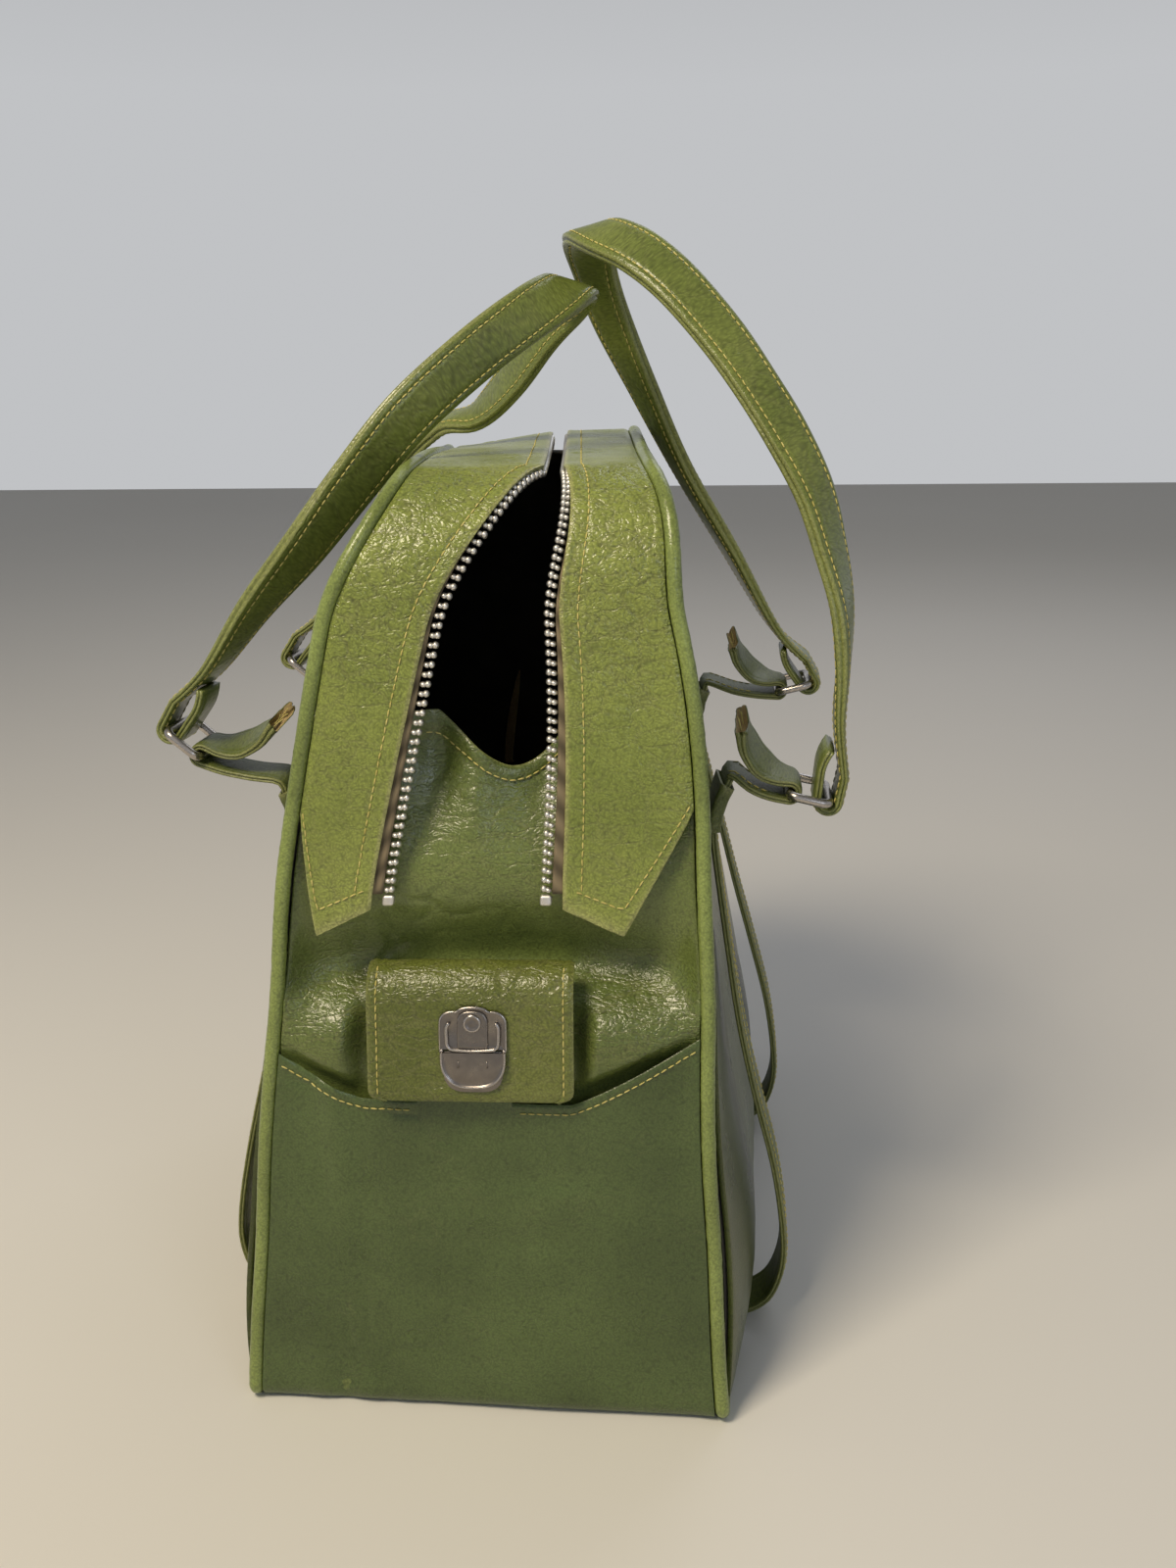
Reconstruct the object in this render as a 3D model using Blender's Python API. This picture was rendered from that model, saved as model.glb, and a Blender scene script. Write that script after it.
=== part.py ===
"""Ski boot bag: two vinyl side panels joined by one end-and-base gusset, closed by a zip that
runs over the top between two stitched bands. Two strap handles hang on wire rings, and an end
pocket shuts with a small tuck lock. Metres, +Z up, the near (pocket) end at -Y."""

import math

import bmesh
import bpy
from mathutils import Vector

# ---- driving dimensions (metres, degrees where it says so) ----
MM = 0.001

BAG_LENGTH = 0.342          # along the base, outside the piping
BAG_WIDTH = 0.206           # across the base, outside the piping
BAG_HEIGHT = 0.388          # floor to the flat top of the zip bands
END_LEAN = 0.088            # each end leans in by this much per metre of height
SHOULDER_RADIUS = 0.048     # where an end turns over into the top
BASE_RADIUS = 0.008         # where an end turns under into the base
SIDE_TAPER = 0.075          # half-width lost per metre of height
SIDE_ROUND = 0.031          # half-width lost to the rounding under the top
SIDE_ROUND_FROM = 0.215     # height where that rounding starts
PANEL_CORNER = 0.004        # cut across a side panel's bottom corners
SIDE_BULGE = 0.016          # how far a side panel sags out
SIDE_BULGE_HEIGHT = 0.045   # height of the widest sag
TWIST_DEG = 5.7             # the slumped bag's top is turned by this much over its base
TWIST_FROM = 0.100
TWIST_TO = 0.330
TOP_LEAN = 0.011            # sideways lean of the top
TOP_LEAN_FROM = 0.330
SWAY = 0.0015               # the waist has shifted this way and that
FAR_RISE = 0.003            # the top stands this much higher at the far end
FAR_LEFT_SAG = 0.009        # and its far left corner has sunk by this much

GAP = 0.0003                # between pieces that touch
PIPING_RADIUS = 0.003
PIPING_PROUD = 0.0015       # the piping stands this much beyond the panels
SIDE_THICKNESS = 0.0022
GUSSET_THICKNESS = 0.0018
BAND_THICKNESS = 0.0016
TAPE_THICKNESS = 0.0008
LINING_THICKNESS = 0.0008
FAR_LINING_INSET = 0.0088   # far lining's outer face inside the outline
CORNER_GAP = 0.0010         # between the base and the pieces that turn up from it
BOARD_THICKNESS = 0.0025
BOARD_MARGIN = 0.012

SLOT_OFFSET = 0.00975       # middle of the zip slot, off the middle of the bag
SLOT_WIDTH = 0.0075         # between the bands along the top
LEFT_FLARE = 0.054          # how far each band's lower end is drawn away from the slot
RIGHT_FLARE = 0.0142
FLARE_BOTTOM = 0.216
FAR_FLARE = 0.00625         # both bands, down the far end, to clear the slider
BAND_TIP = 0.209            # heights of a band's three end corners
BAND_INNER_CORNER = 0.220
BAND_OUTER_CORNER = 0.259
LEFT_TIP_SHARE = 0.65       # where each tip lies across its band, from the inner edge
RIGHT_TIP_SHARE = 0.46
FAR_PANEL_TOP = 0.264       # far end panel's top behind the bands, and round the zip's foot
NOTCH_MARGIN = 0.0025       # the panel stops this much below the zip's foot
NOTCH_STEP = 0.0175         # and lies behind the bands from this far below the notch
TAPE_WIDTH = 0.014
CHAIN_REVEAL = 0.0075       # chain centre from the band's edge, where the mouth is widest
CHAIN_TUCK = 0.001          # chain centre under the band's edge along the top
CHAIN_WIDTH = 0.0042
CHAIN_THICKNESS = 0.0034
NEAR_CHAIN_END = 0.226
FAR_CHAIN_TAIL = 0.014      # zip chain left below the parked slider's middle
STOP_LENGTH = 0.0045

SLIDER_HEIGHT = 0.236       # height of the parked slider's middle on the far end
SLIDER_LENGTH = 0.012
SLIDER_PLATE = 0.0011
SLIDER_NECK = 0.0042
SLIDER_CLEARANCE = 0.0005
PULL_LENGTH = 0.026
PULL_WIDTH = 0.0065
PULL_THICKNESS = 0.0012
PULL_LIFT = 0.0016          # hinge line above the slider's plate
PULL_BAR = 0.0009           # half the height of the pull's end bar
PULL_EYE = 0.0030
BAIL_RADIUS = 0.0021
BAIL_WIDTH = 0.0016
BAIL_THICKNESS = 0.0008

TONGUE_MIDDLE = 0.276       # hem of the gusset's upper tongue: lowest point and its rise
TONGUE_RISE = 0.018
TONGUE_DEPTH = 0.018        # how far the hem hangs into the mouth
TONGUE_TUCK = 0.0062        # face of the tongue's foot, behind the zip chains
FOLD_HEIGHT = 0.212
FOLD_DROP = 0.018
FOLD_DEPTH = 0.013
FOLD_HALF_HEIGHT = 0.0065

POCKET_MOUTH = 0.1405
POCKET_RISE = 0.020
POCKET_DEPTH = 0.0062
POCKET_BELLY = 0.0022
POCKET_THICKNESS = 0.0016
POCKET_TAB_TOP = 0.170
POCKET_TAB_WIDTH = 0.036
POCKET_MIDDLE = -0.0080
POCKET_FLAT = 0.043         # half-width of the level stretch of the pocket's mouth
FLAP_WIDTH = 0.082
FLAP_TOP = 0.1985
FLAP_BOTTOM = 0.1440
FLAP_THICKNESS = 0.0026
FLAP_ROLL = 0.0032
FLAP_TILT = 0.004           # how much further out the flap's lower edge stands

LATCH_WIDTH = 0.027
LATCH_HEIGHT = 0.036
LATCH_MIDDLE = 0.165        # height of the split between plate and thumb piece
LATCH_SIDEWAYS = 0.0015     # the latch sits this far to the right of the flap's middle
LATCH_PLATE_THICKNESS = 0.0016
LATCH_CORNER = 0.008
THUMB_THICKNESS = 0.0022
THUMB_TRAVEL = 0.003
RECEIVER_THICKNESS = 0.0011
RECEIVER_WIDTH = 0.018

RING_INSIDE = 0.026
RING_PITCH = 0.0165         # between the middles of a ring's two bars
RING_WIRE = 0.0019          # wire radius
RING_CORNER = 0.0036
STRAP_WIDTH = 0.0235
STRAP_THICKNESS = 0.0032
STRAP_HALF_SPACING = 0.088
HANDLE_WIDTH = 0.024
HANDLE_THICKNESS = 0.0064
HANDLE_END_THICKNESS = 0.0036
HANDLE_TAIL = 0.024
HANDLE_PLAY = 0.0008        # between a ring's wire and the handle's loop
KEEPER_WALL = 0.0010

LEAN_ANGLE = math.atan(END_LEAN)
FAR_CHAIN_END = SLIDER_HEIGHT - FAR_CHAIN_TAIL
FAR_NOTCH = FAR_CHAIN_END - NOTCH_MARGIN
NEAR = -1
FAR = 1
LEFT = -1
RIGHT = 1


# ---- small tools ----
def clear_scene():
    for thing in list(bpy.data.objects):
        bpy.data.objects.remove(thing, do_unlink=True)


def material(name, colour, roughness, metallic=0.0):
    """One Principled material."""
    made = bpy.data.materials.get(name)
    if made is None:
        made = bpy.data.materials.new(name)
        made.use_nodes = True
        shader = made.node_tree.nodes["Principled BSDF"]
        shader.inputs["Base Color"].default_value = (*colour, 1.0)
        shader.inputs["Roughness"].default_value = roughness
        shader.inputs["Metallic"].default_value = metallic
    return made


def vinyl(name):
    return material("vinyl_" + name, (0.105, 0.165, 0.028), 0.42)


def steel(name):
    return material("steel_" + name, (0.55, 0.54, 0.52), 0.28, 1.0)


def cloth(name, colour):
    return material("cloth_" + name, colour, 0.85)


def smooth_step(start, end, value):
    share = min(1.0, max(0.0, (value - start) / (end - start)))
    return share * share * (3.0 - 2.0 * share)


def finish(name, mesh_data, paint, origin=None):
    """Make an object of a bmesh, with its origin on the given world point."""
    bmesh.ops.recalc_face_normals(mesh_data, faces=mesh_data.faces[:])
    if origin is not None:
        bmesh.ops.translate(mesh_data, verts=mesh_data.verts[:], vec=-origin)
    mesh = bpy.data.meshes.new(name)
    mesh_data.to_mesh(mesh)
    mesh_data.free()
    mesh.materials.append(paint)
    for face in mesh.polygons:
        face.use_smooth = True
    mesh.set_sharp_from_angle(angle=math.radians(40))
    thing = bpy.data.objects.new(name, mesh)
    if origin is not None:
        thing.location = origin
    bpy.context.scene.collection.objects.link(thing)
    return thing


def loft(name, sections, paint, origin=None, ring=False):
    """Skin closed sections of equal counts into one body; a ring joins its last to its first."""
    shape = bmesh.new()
    loops = [[shape.verts.new(point) for point in section] for section in sections]
    pairs = list(zip(loops, loops[1:]))
    if ring:
        pairs.append((loops[-1], loops[0]))
    count = len(loops[0])
    for lower, upper in pairs:
        for index in range(count):
            after = (index + 1) % count
            shape.faces.new((lower[index], lower[after], upper[after], upper[index]))
    if not ring:
        shape.faces.new(reversed(loops[0]))
        shape.faces.new(loops[-1])
    return finish(name, shape, paint, origin)


def sheet(name, rows, thickness, inside, paint, square_rim=True, depth=0.0):
    """A closed sheet: its outer face lies at a depth behind the rows, towards the inside point.
    A square rim keeps the two long edges' walls clear of the piping beside them."""
    shape = bmesh.new()
    outer = [[shape.verts.new(point) for point in row] for row in rows]
    count = len(rows[0])
    for low, high in zip(outer, outer[1:]):
        for index in range(count - 1):
            shape.faces.new((low[index], low[index + 1], high[index + 1], high[index]))
    shape.normal_update()
    middle = outer[len(outer) // 2][count // 2]
    way = 1.0 if middle.normal.dot(middle.co - inside) > 0.0 else -1.0
    inner = []
    for row in outer:
        normals = [vert.normal.copy() for vert in row]
        if square_rim:
            across = (row[-1].co - row[0].co).normalized()
            for index in (0, -1):
                normals[index] = (normals[index] - across * normals[index].dot(across)).normalized()
        inner.append([shape.verts.new(vert.co - normal * ((depth + thickness) * way))
                      for vert, normal in zip(row, normals)])
        for vert, normal in zip(row, normals):
            vert.co -= normal * (depth * way)
    for low, high in zip(inner, inner[1:]):
        for index in range(count - 1):
            shape.faces.new((low[index], high[index], high[index + 1], low[index + 1]))
    rim_out = outer[0] + [row[-1] for row in outer[1:-1]] + outer[-1][::-1] + [row[0] for row in outer[-2:0:-1]]
    rim_in = inner[0] + [row[-1] for row in inner[1:-1]] + inner[-1][::-1] + [row[0] for row in inner[-2:0:-1]]
    for index in range(len(rim_out)):
        after = (index + 1) % len(rim_out)
        shape.faces.new((rim_out[index], rim_in[index], rim_in[after], rim_out[after]))
    return finish(name, shape, paint)


def flat_section(centre, across, through, width, thickness):
    """Eight points of a strap's rounded section."""
    half = width / 2.0
    deep = thickness / 2.0
    cut = deep * 0.55
    corners = ((half - cut, deep), (half, deep - cut), (half, cut - deep), (half - cut, -deep),
               (cut - half, -deep), (-half, cut - deep), (-half, deep - cut), (cut - half, deep))
    return [centre + across * a + through * b for a, b in corners]


def strap(name, centres, widths, width, thickness_at, paint, origin=None):
    """A flat strap along its centre points; widths gives the direction across at each point."""
    sections = []
    last = len(centres) - 1
    for index, centre in enumerate(centres):
        along = (centres[min(last, index + 1)] - centres[max(0, index - 1)]).normalized()
        across = (widths[index] - along * widths[index].dot(along)).normalized()
        through = along.cross(across)
        sections.append(flat_section(centre, across, through, width, thickness_at(index / last)))
    return loft(name, sections, paint, origin)


def wire(name, points, radius, paint, origin=None, sides=2):
    """A closed loop of round wire through the points."""
    centre = origin if origin is not None else Vector((0.0, 0.0, 0.0))
    curve = bpy.data.curves.new(name, "CURVE")
    curve.dimensions = "3D"
    curve.bevel_depth = radius
    curve.bevel_resolution = sides
    curve.twist_mode = "MINIMUM"
    spline = curve.splines.new("POLY")
    spline.points.add(len(points) - 1)
    for slot, point in zip(spline.points, points):
        slot.co = (*(point - centre), 1.0)
    spline.use_cyclic_u = True
    curve.materials.append(paint)
    thing = bpy.data.objects.new(name, curve)
    thing.location = centre
    bpy.context.scene.collection.objects.link(thing)
    return thing


def spline_points(route, steps):
    """Points of a Catmull-Rom curve through the route."""
    points = []
    last = len(route) - 1
    for index in range(last):
        before = route[max(0, index - 1)]
        start = route[index]
        end = route[index + 1]
        after = route[min(last, index + 2)]
        for step in range(steps):
            t = step / steps
            points.append(0.5 * (2.0 * start + (end - before) * t
                                 + (2.0 * before - 5.0 * start + 4.0 * end - after) * t * t
                                 + (3.0 * start - before - 3.0 * end + after) * t * t * t))
    points.append(route[last].copy())
    return points


# ---- the bag's form ----
def slump(x, y, z):
    """Where a point of the straight bag lies once the soft top has twisted and leaned."""
    turn = math.radians(TWIST_DEG) * smooth_step(TWIST_FROM, TWIST_TO, z)
    lean = TOP_LEAN * smooth_step(TOP_LEAN_FROM, BAG_HEIGHT, z)
    lean += SWAY * (smooth_step(0.02, 0.09, z) - 2.0 * smooth_step(0.17, 0.24, z))
    top = smooth_step(TOP_LEAN_FROM, BAG_HEIGHT, z) * smooth_step(-0.2 * BAG_WIDTH, 0.55 * BAG_WIDTH, y)
    sag = FAR_LEFT_SAG * smooth_step(-0.1 * BAG_WIDTH, 0.3 * BAG_WIDTH, -x)
    return Vector((x * math.cos(turn) - y * math.sin(turn) + lean,
                   x * math.sin(turn) + y * math.cos(turn), z + top * (FAR_RISE - sag)))


def half_width(z):
    """Half the bag's width outside the piping, at a height."""
    share = min(1.0, max(0.0, (z - SIDE_ROUND_FROM) / (BAG_HEIGHT + 0.003 - SIDE_ROUND_FROM)))
    return BAG_WIDTH / 2.0 - SIDE_TAPER * z - SIDE_ROUND * (1.0 - math.sqrt(1.0 - share * share))


class EndPath:
    """The gusset's side view over one end: base, corner, leaning end, shoulder and top."""
    shoulder_y = BAG_LENGTH / 2.0 - END_LEAN * BAG_HEIGHT
    shoulder_cut = SHOULDER_RADIUS * math.tan((math.pi / 2.0 - LEAN_ANGLE) / 2.0)
    base_cut = BASE_RADIUS * math.tan((math.pi / 2.0 + LEAN_ANGLE) / 2.0)
    top_flat = shoulder_y - shoulder_cut
    base_flat = BAG_LENGTH / 2.0 - base_cut
    shoulder_arc = SHOULDER_RADIUS * (math.pi / 2.0 - LEAN_ANGLE)
    base_arc = BASE_RADIUS * (math.pi / 2.0 + LEAN_ANGLE)
    straight = BAG_HEIGHT / math.cos(LEAN_ANGLE) - shoulder_cut - base_cut

    def at(self, run):
        """Point and outward normal in the (y, z) plane, at a run from the middle of the base."""
        if run <= self.base_flat:
            return (run, 0.0), (0.0, -1.0)
        run -= self.base_flat
        if run <= self.base_arc:
            angle = run / BASE_RADIUS - math.pi / 2.0
            out = (math.cos(angle), math.sin(angle))
            return (self.base_flat + BASE_RADIUS * out[0], BASE_RADIUS * (1.0 + out[1])), out
        run -= self.base_arc
        out = (math.cos(LEAN_ANGLE), math.sin(LEAN_ANGLE))
        if run <= self.straight:
            foot_y = self.base_flat + BASE_RADIUS * out[0]
            foot_z = BASE_RADIUS * (1.0 + out[1])
            return (foot_y - run * out[1], foot_z + run * out[0]), out
        run -= self.straight
        centre = (self.top_flat, BAG_HEIGHT - SHOULDER_RADIUS)
        if run <= self.shoulder_arc:
            angle = LEAN_ANGLE + run / SHOULDER_RADIUS
            out = (math.cos(angle), math.sin(angle))
            return (centre[0] + SHOULDER_RADIUS * out[0], centre[1] + SHOULDER_RADIUS * out[1]), out
        run -= self.shoulder_arc
        return (self.top_flat - run, BAG_HEIGHT), (0.0, 1.0)

    def run_at(self, z):
        """Run of the point at a height on the leaning end."""
        foot_z = BASE_RADIUS * (1.0 + math.sin(LEAN_ANGLE))
        return self.base_flat + self.base_arc + (z - foot_z) / math.cos(LEAN_ANGLE)

    corner_end = base_flat + base_arc
    shoulder_start = corner_end + straight
    shoulder_end = shoulder_start + shoulder_arc
    total = shoulder_end + top_flat


END = EndPath()


def spaced(start, end, count):
    return [start + (end - start) * index / count for index in range(count + 1)]


def end_runs(top_steps):
    """The runs that every piece of the shell is sampled at, from base to the middle of the top."""
    runs = spaced(END.base_flat, END.corner_end, 4)
    runs += spaced(END.corner_end, END.shoulder_start, 12)[1:]
    runs += spaced(END.shoulder_start, END.shoulder_end, 7)[1:]
    runs += spaced(END.shoulder_end, END.total, top_steps)[1:]
    return runs


def shell_point(end, run, inset, x):
    """A point of the shell on the near or far end, let in from the outline."""
    (y, z), (out_y, out_z) = END.at(run)
    return slump(x, end * (y - out_y * inset), z - out_z * inset)


def height_at(run, inset=0.0):
    (_, z), (_, out_z) = END.at(run)
    return z - out_z * inset


def inner_half(run):
    """Half-width left between the two pipings."""
    return half_width(height_at(run, PIPING_RADIUS)) - 2.0 * PIPING_RADIUS - GAP


def side_slope(z):
    step = 0.0005
    return (half_width(z + step) - half_width(z - step)) / (2.0 * step)


def side_face(y, z):
    """Outer face of a side panel, before the slump."""
    reach = abs(y) / (BAG_LENGTH / 2.0)
    rise = z / SIDE_BULGE_HEIGHT
    sag = SIDE_BULGE * rise * math.exp(1.0 - rise) * (1.0 - min(1.0, reach) ** 6)
    return half_width(z) - PIPING_PROUD + sag


def panel_rim():
    """(y, z) up one end of a side panel's edge, beside the piping, from the foot to the top."""
    reach = 2.0 * PIPING_RADIUS + GAP
    line = BAG_LENGTH / 2.0 - reach / math.cos(LEAN_ANGLE)
    foot = reach + PANEL_CORNER
    rim = [(line - END_LEAN * foot - PANEL_CORNER, reach), (line - END_LEAN * foot, foot)]
    for run in end_runs(1)[:-1]:
        (y, z), (out_y, out_z) = END.at(run)
        slope = side_slope(min(z, BAG_HEIGHT - 0.004)) * out_z
        reach = PIPING_RADIUS + (PIPING_RADIUS + GAP) / math.sqrt(1.0 + slope * slope)
        if z - out_z * reach > foot + PANEL_CORNER:
            rim.append((y - out_y * reach, z - out_z * reach))
    return rim


# ---- shell pieces ----
def make_side_panel(side, name, thickness, depth, paint):
    """One big side panel, from piping to piping; the lining uses the same form further in."""
    rows = []
    for edge, level in panel_rim():
        row = []
        for share in (-1.0, -0.93, -0.8, -0.55, -0.28, 0.0, 0.28, 0.55, 0.8, 0.93, 1.0):
            place = edge * share
            row.append(slump(side * side_face(place, level), place, level))
        rows.append(row)
    return sheet(name, rows, thickness, Vector((0.0, 0.0, BAG_HEIGHT * 0.45)), paint, square_rim=False,
                 depth=depth)


def make_far_lining():
    """The lining's far end, that also hangs behind the zip over the shoulder."""
    start = END.corner_end + 0.012
    runs = spaced(start, END.shoulder_start, 5) + spaced(END.shoulder_start, END.shoulder_end, 7)[1:]
    runs.append(END.shoulder_end + 0.012)
    rows = []
    for run in runs:
        level = height_at(run, FAR_LINING_INSET)
        layers = (SIDE_THICKNESS + GAP + LINING_THICKNESS) * math.hypot(1.0, side_slope(level))
        half = half_width(level) - PIPING_PROUD - layers - 2.0 * GAP
        rows.append([shell_point(FAR, run, FAR_LINING_INSET, half * share) for share in (-1.0, -0.4, 0.4, 1.0)])
    return sheet("lining_far", rows, LINING_THICKNESS, Vector((0.0, 0.0, 0.2)),
                 cloth("lining", (0.012, 0.012, 0.012)))


def make_piping(side, name):
    """The bead sewn all round a side panel."""
    loop = []
    runs = spaced(0.0, END.base_flat, 5)[:-1] + end_runs(4)
    for run in runs:
        z = height_at(run, PIPING_RADIUS)
        loop.append(shell_point(FAR, run, PIPING_RADIUS, side * (half_width(z) - PIPING_RADIUS)))
    for run in runs[-2:0:-1]:
        z = height_at(run, PIPING_RADIUS)
        loop.append(shell_point(NEAR, run, PIPING_RADIUS, side * (half_width(z) - PIPING_RADIUS)))
    return wire(name, loop, PIPING_RADIUS, vinyl("piping"))


def make_base_panel():
    half = half_width(PIPING_RADIUS) - 2.0 * PIPING_RADIUS - GAP
    rows = [[Vector((half * share, y, 0.0)) for share in (-1.0, -0.5, 0.0, 0.5, 1.0)]
            for y in spaced(-END.base_flat, END.base_flat, 5)]
    return sheet("base_panel", rows, GUSSET_THICKNESS, Vector((0.0, 0.0, 0.1)), vinyl("gusset"))


def make_base_board():
    half = half_width(0.0) - 2.0 * PIPING_RADIUS - BOARD_MARGIN
    far = END.base_flat - BOARD_MARGIN / 2.0
    low = GUSSET_THICKNESS + GAP
    rows = [[Vector((half * share, y, low)) for share in (-1.0, 1.0)] for y in (-far, far)]
    return sheet("base_board", rows, BOARD_THICKNESS, Vector((0.0, 0.0, 0.1)),
                 material("board", (0.10, 0.07, 0.045), 0.8))


def fold_height(x):
    reach = x / (BAG_WIDTH * 0.4)
    return FOLD_HEIGHT - FOLD_DROP * reach * reach


def corner_inset(run):
    """The shell leaves the floor plane and steps in behind the piping round the base corner."""
    return PIPING_PROUD * smooth_step(END.base_flat, END.corner_end, run)


def pocket_top(x):
    """Height of the pocket's mouth, with the small tab behind the flap."""
    off = abs(x - POCKET_MIDDLE)
    if off < POCKET_TAB_WIDTH / 2.0:
        return POCKET_TAB_TOP
    reach = max(0.0, (off - POCKET_FLAT) / (BAG_WIDTH * 0.4 - POCKET_FLAT))
    return POCKET_MOUTH + POCKET_RISE * reach ** 1.2


def pocket_swell(x, z, half):
    """0 at the pocket's seams, 1 in its middle."""
    across = 1.0 - (x / half) ** 4
    return max(0.0, across) * smooth_step(0.006, 0.060, z)


def tongue_top(x):
    reach = (x - 0.002) / 0.024
    return TONGUE_MIDDLE + TONGUE_RISE * min(1.25, reach * reach)


def near_inset(x, z, half, run):
    """How far the near end panel's outer face lies inside the outline."""
    under_pocket = (POCKET_THICKNESS + GAP) + POCKET_DEPTH * pocket_swell(x, z, half) * 0.9
    level = 1.0 - smooth_step(POCKET_TAB_TOP + 0.003, FLAP_TOP - 0.008, z)
    under_band = (TONGUE_TUCK - PIPING_PROUD) * smooth_step(0.197, BAND_TIP - 0.002, z)
    edge = 1.0 - (x / half) ** 6
    fold = FOLD_DEPTH * math.exp(-((z - fold_height(x)) / FOLD_HALF_HEIGHT) ** 2) * max(0.0, edge)
    tongue = TONGUE_DEPTH * smooth_step(0.225, TONGUE_MIDDLE + TONGUE_RISE, z) * max(0.0, 1.0 - (x / half) ** 2)
    return corner_inset(run) + under_pocket * level + under_band + fold + tongue


def make_near_end_panel():
    """The gusset's near end: behind the pocket, in at the fold, and up to the hemmed tongue."""
    shares = (-1.0, -0.9, -0.7, -0.5, -0.3, -0.1, 0.1, 0.3, 0.5, 0.7, 0.9, 1.0)
    top_run = END.run_at(TONGUE_MIDDLE)
    runs = [END.base_flat + CORNER_GAP] + spaced(END.base_flat, END.corner_end, 4)[1:]
    runs += [END.run_at(z) for z in (0.045, 0.08, 0.115, 0.145, 0.168, 0.182, 0.191, 0.198, 0.204, 0.210, 0.216,
                                     0.223, 0.232, 0.245, 0.260)]
    runs.append(top_run)
    first_stretch = END.run_at(0.232)
    rows = []
    for run in runs:
        row = []
        for share in shares:
            stretch = max(0.0, (run - first_stretch) / (top_run - first_stretch))
            half = inner_half(run)
            lift = (tongue_top(half * share) - TONGUE_MIDDLE) * stretch
            here = run + lift
            half = inner_half(here)
            x = half * share
            z = height_at(here)
            row.append(shell_point(NEAR, here, near_inset(x, z, half, here), x))
        rows.append(row)
    return sheet("near_end_panel", rows, GUSSET_THICKNESS, Vector((0.0, 0.0, 0.2)), vinyl("gusset"))


def make_far_end_panel():
    """The gusset's far end: behind the bands at its sides, and cut down round the foot of the zip."""
    shares = (-1.0, -0.75, -0.4, -0.085, -0.065, 0.12, 0.305, 0.325, 0.65, 1.0)
    runs = [END.base_flat + CORNER_GAP] + spaced(END.base_flat, END.corner_end, 4)[1:]
    step_top = FAR_NOTCH - NOTCH_STEP
    step_foot = step_top - 0.012
    runs += [END.run_at(step_foot * share) for share in (0.32, 0.53, 0.74, 0.89, 1.0)]
    runs += [END.run_at(z) for z in (step_top, (step_top + FAR_NOTCH) / 2.0)]
    under_band = BAND_THICKNESS + TAPE_THICKNESS + 3.0 * GAP
    rows = []
    for run in runs + [None]:
        row = []
        for share in shares:
            here = run
            if run is None:
                here = END.run_at(FAR_NOTCH if -0.07 < share < 0.31 else FAR_PANEL_TOP)
            deep = corner_inset(here) + under_band * smooth_step(step_foot, step_top, height_at(here))
            row.append(shell_point(FAR, here, deep, inner_half(here) * share))
        rows.append(row)
    return sheet("far_end_panel", rows, GUSSET_THICKNESS, Vector((0.0, 0.0, 0.2)), vinyl("gusset"))


# ---- zip ----
def flare(end, side, run):
    """How far a band's inner edge is drawn away from the slot."""
    z = height_at(run)
    if end == FAR:
        return FAR_FLARE * (1.0 - smooth_step(BAG_HEIGHT - 0.058, BAG_HEIGHT - 0.008, z))
    share = min(1.0, max(0.0, (z - FLARE_BOTTOM) / (BAG_HEIGHT - FLARE_BOTTOM)))
    reach = LEFT_FLARE if side == LEFT else RIGHT_FLARE
    return reach * math.sqrt(1.0 - share ** 1.2)


def band_edge(end, side, run):
    return SLOT_OFFSET + side * (SLOT_WIDTH / 2.0 + flare(end, side, run))


def reveal(end, side, run):
    """How far the chain's middle lies out from the band's edge, towards the slot."""
    if end == FAR:
        return (FAR_FLARE - CHAIN_TUCK) * flare(end, side, run) / FAR_FLARE - CHAIN_TUCK
    share = flare(end, side, run) / (LEFT_FLARE if side == LEFT else RIGHT_FLARE)
    return CHAIN_REVEAL * share - CHAIN_TUCK


def over_runs(near_start, far_start):
    """(end, run) stations from the near end, over the top, down the far end."""
    near = [run for run in end_runs(5) if run > near_start + 0.004]
    far = [run for run in end_runs(5) if run > far_start + 0.004]
    return ([(NEAR, near_start)] + [(NEAR, run) for run in near]
            + [(FAR, run) for run in far[-2::-1]] + [(FAR, far_start)])


def band_end(tip, share):
    """Height of the pointed band end, share 0 at its inner edge and 1 at the piping."""
    if share < tip:
        return BAND_INNER_CORNER + (BAND_TIP - BAND_INNER_CORNER) * share / tip
    return BAND_TIP + (BAND_OUTER_CORNER - BAND_TIP) * (share - tip) / (1.0 - tip)


def make_zip_band(side, name):
    """One wide facing beside the zip, cut to a point at both ends."""
    start = END.run_at(BAND_OUTER_CORNER)
    blend = END.run_at(BAND_OUTER_CORNER + 0.035)
    tip = LEFT_TIP_SHARE if side == LEFT else RIGHT_TIP_SHARE
    stations = over_runs(start, start)
    rows = []
    for end, run in stations:
        row = []
        for share in (0.0, tip * 0.5, tip, (1.0 + tip) * 0.5, 1.0):
            ease = max(0.0, (blend - run) / (blend - start))
            here = run - (start - END.run_at(band_end(tip, share))) * min(1.0, ease)
            inner = band_edge(end, side, here)
            outer = side * inner_half(here)
            row.append(shell_point(end, here, PIPING_PROUD, inner + (outer - inner) * share))
        rows.append(row)
    return sheet(name, rows, BAND_THICKNESS, Vector((0.0, 0.0, 0.2)), vinyl("band"))


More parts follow.
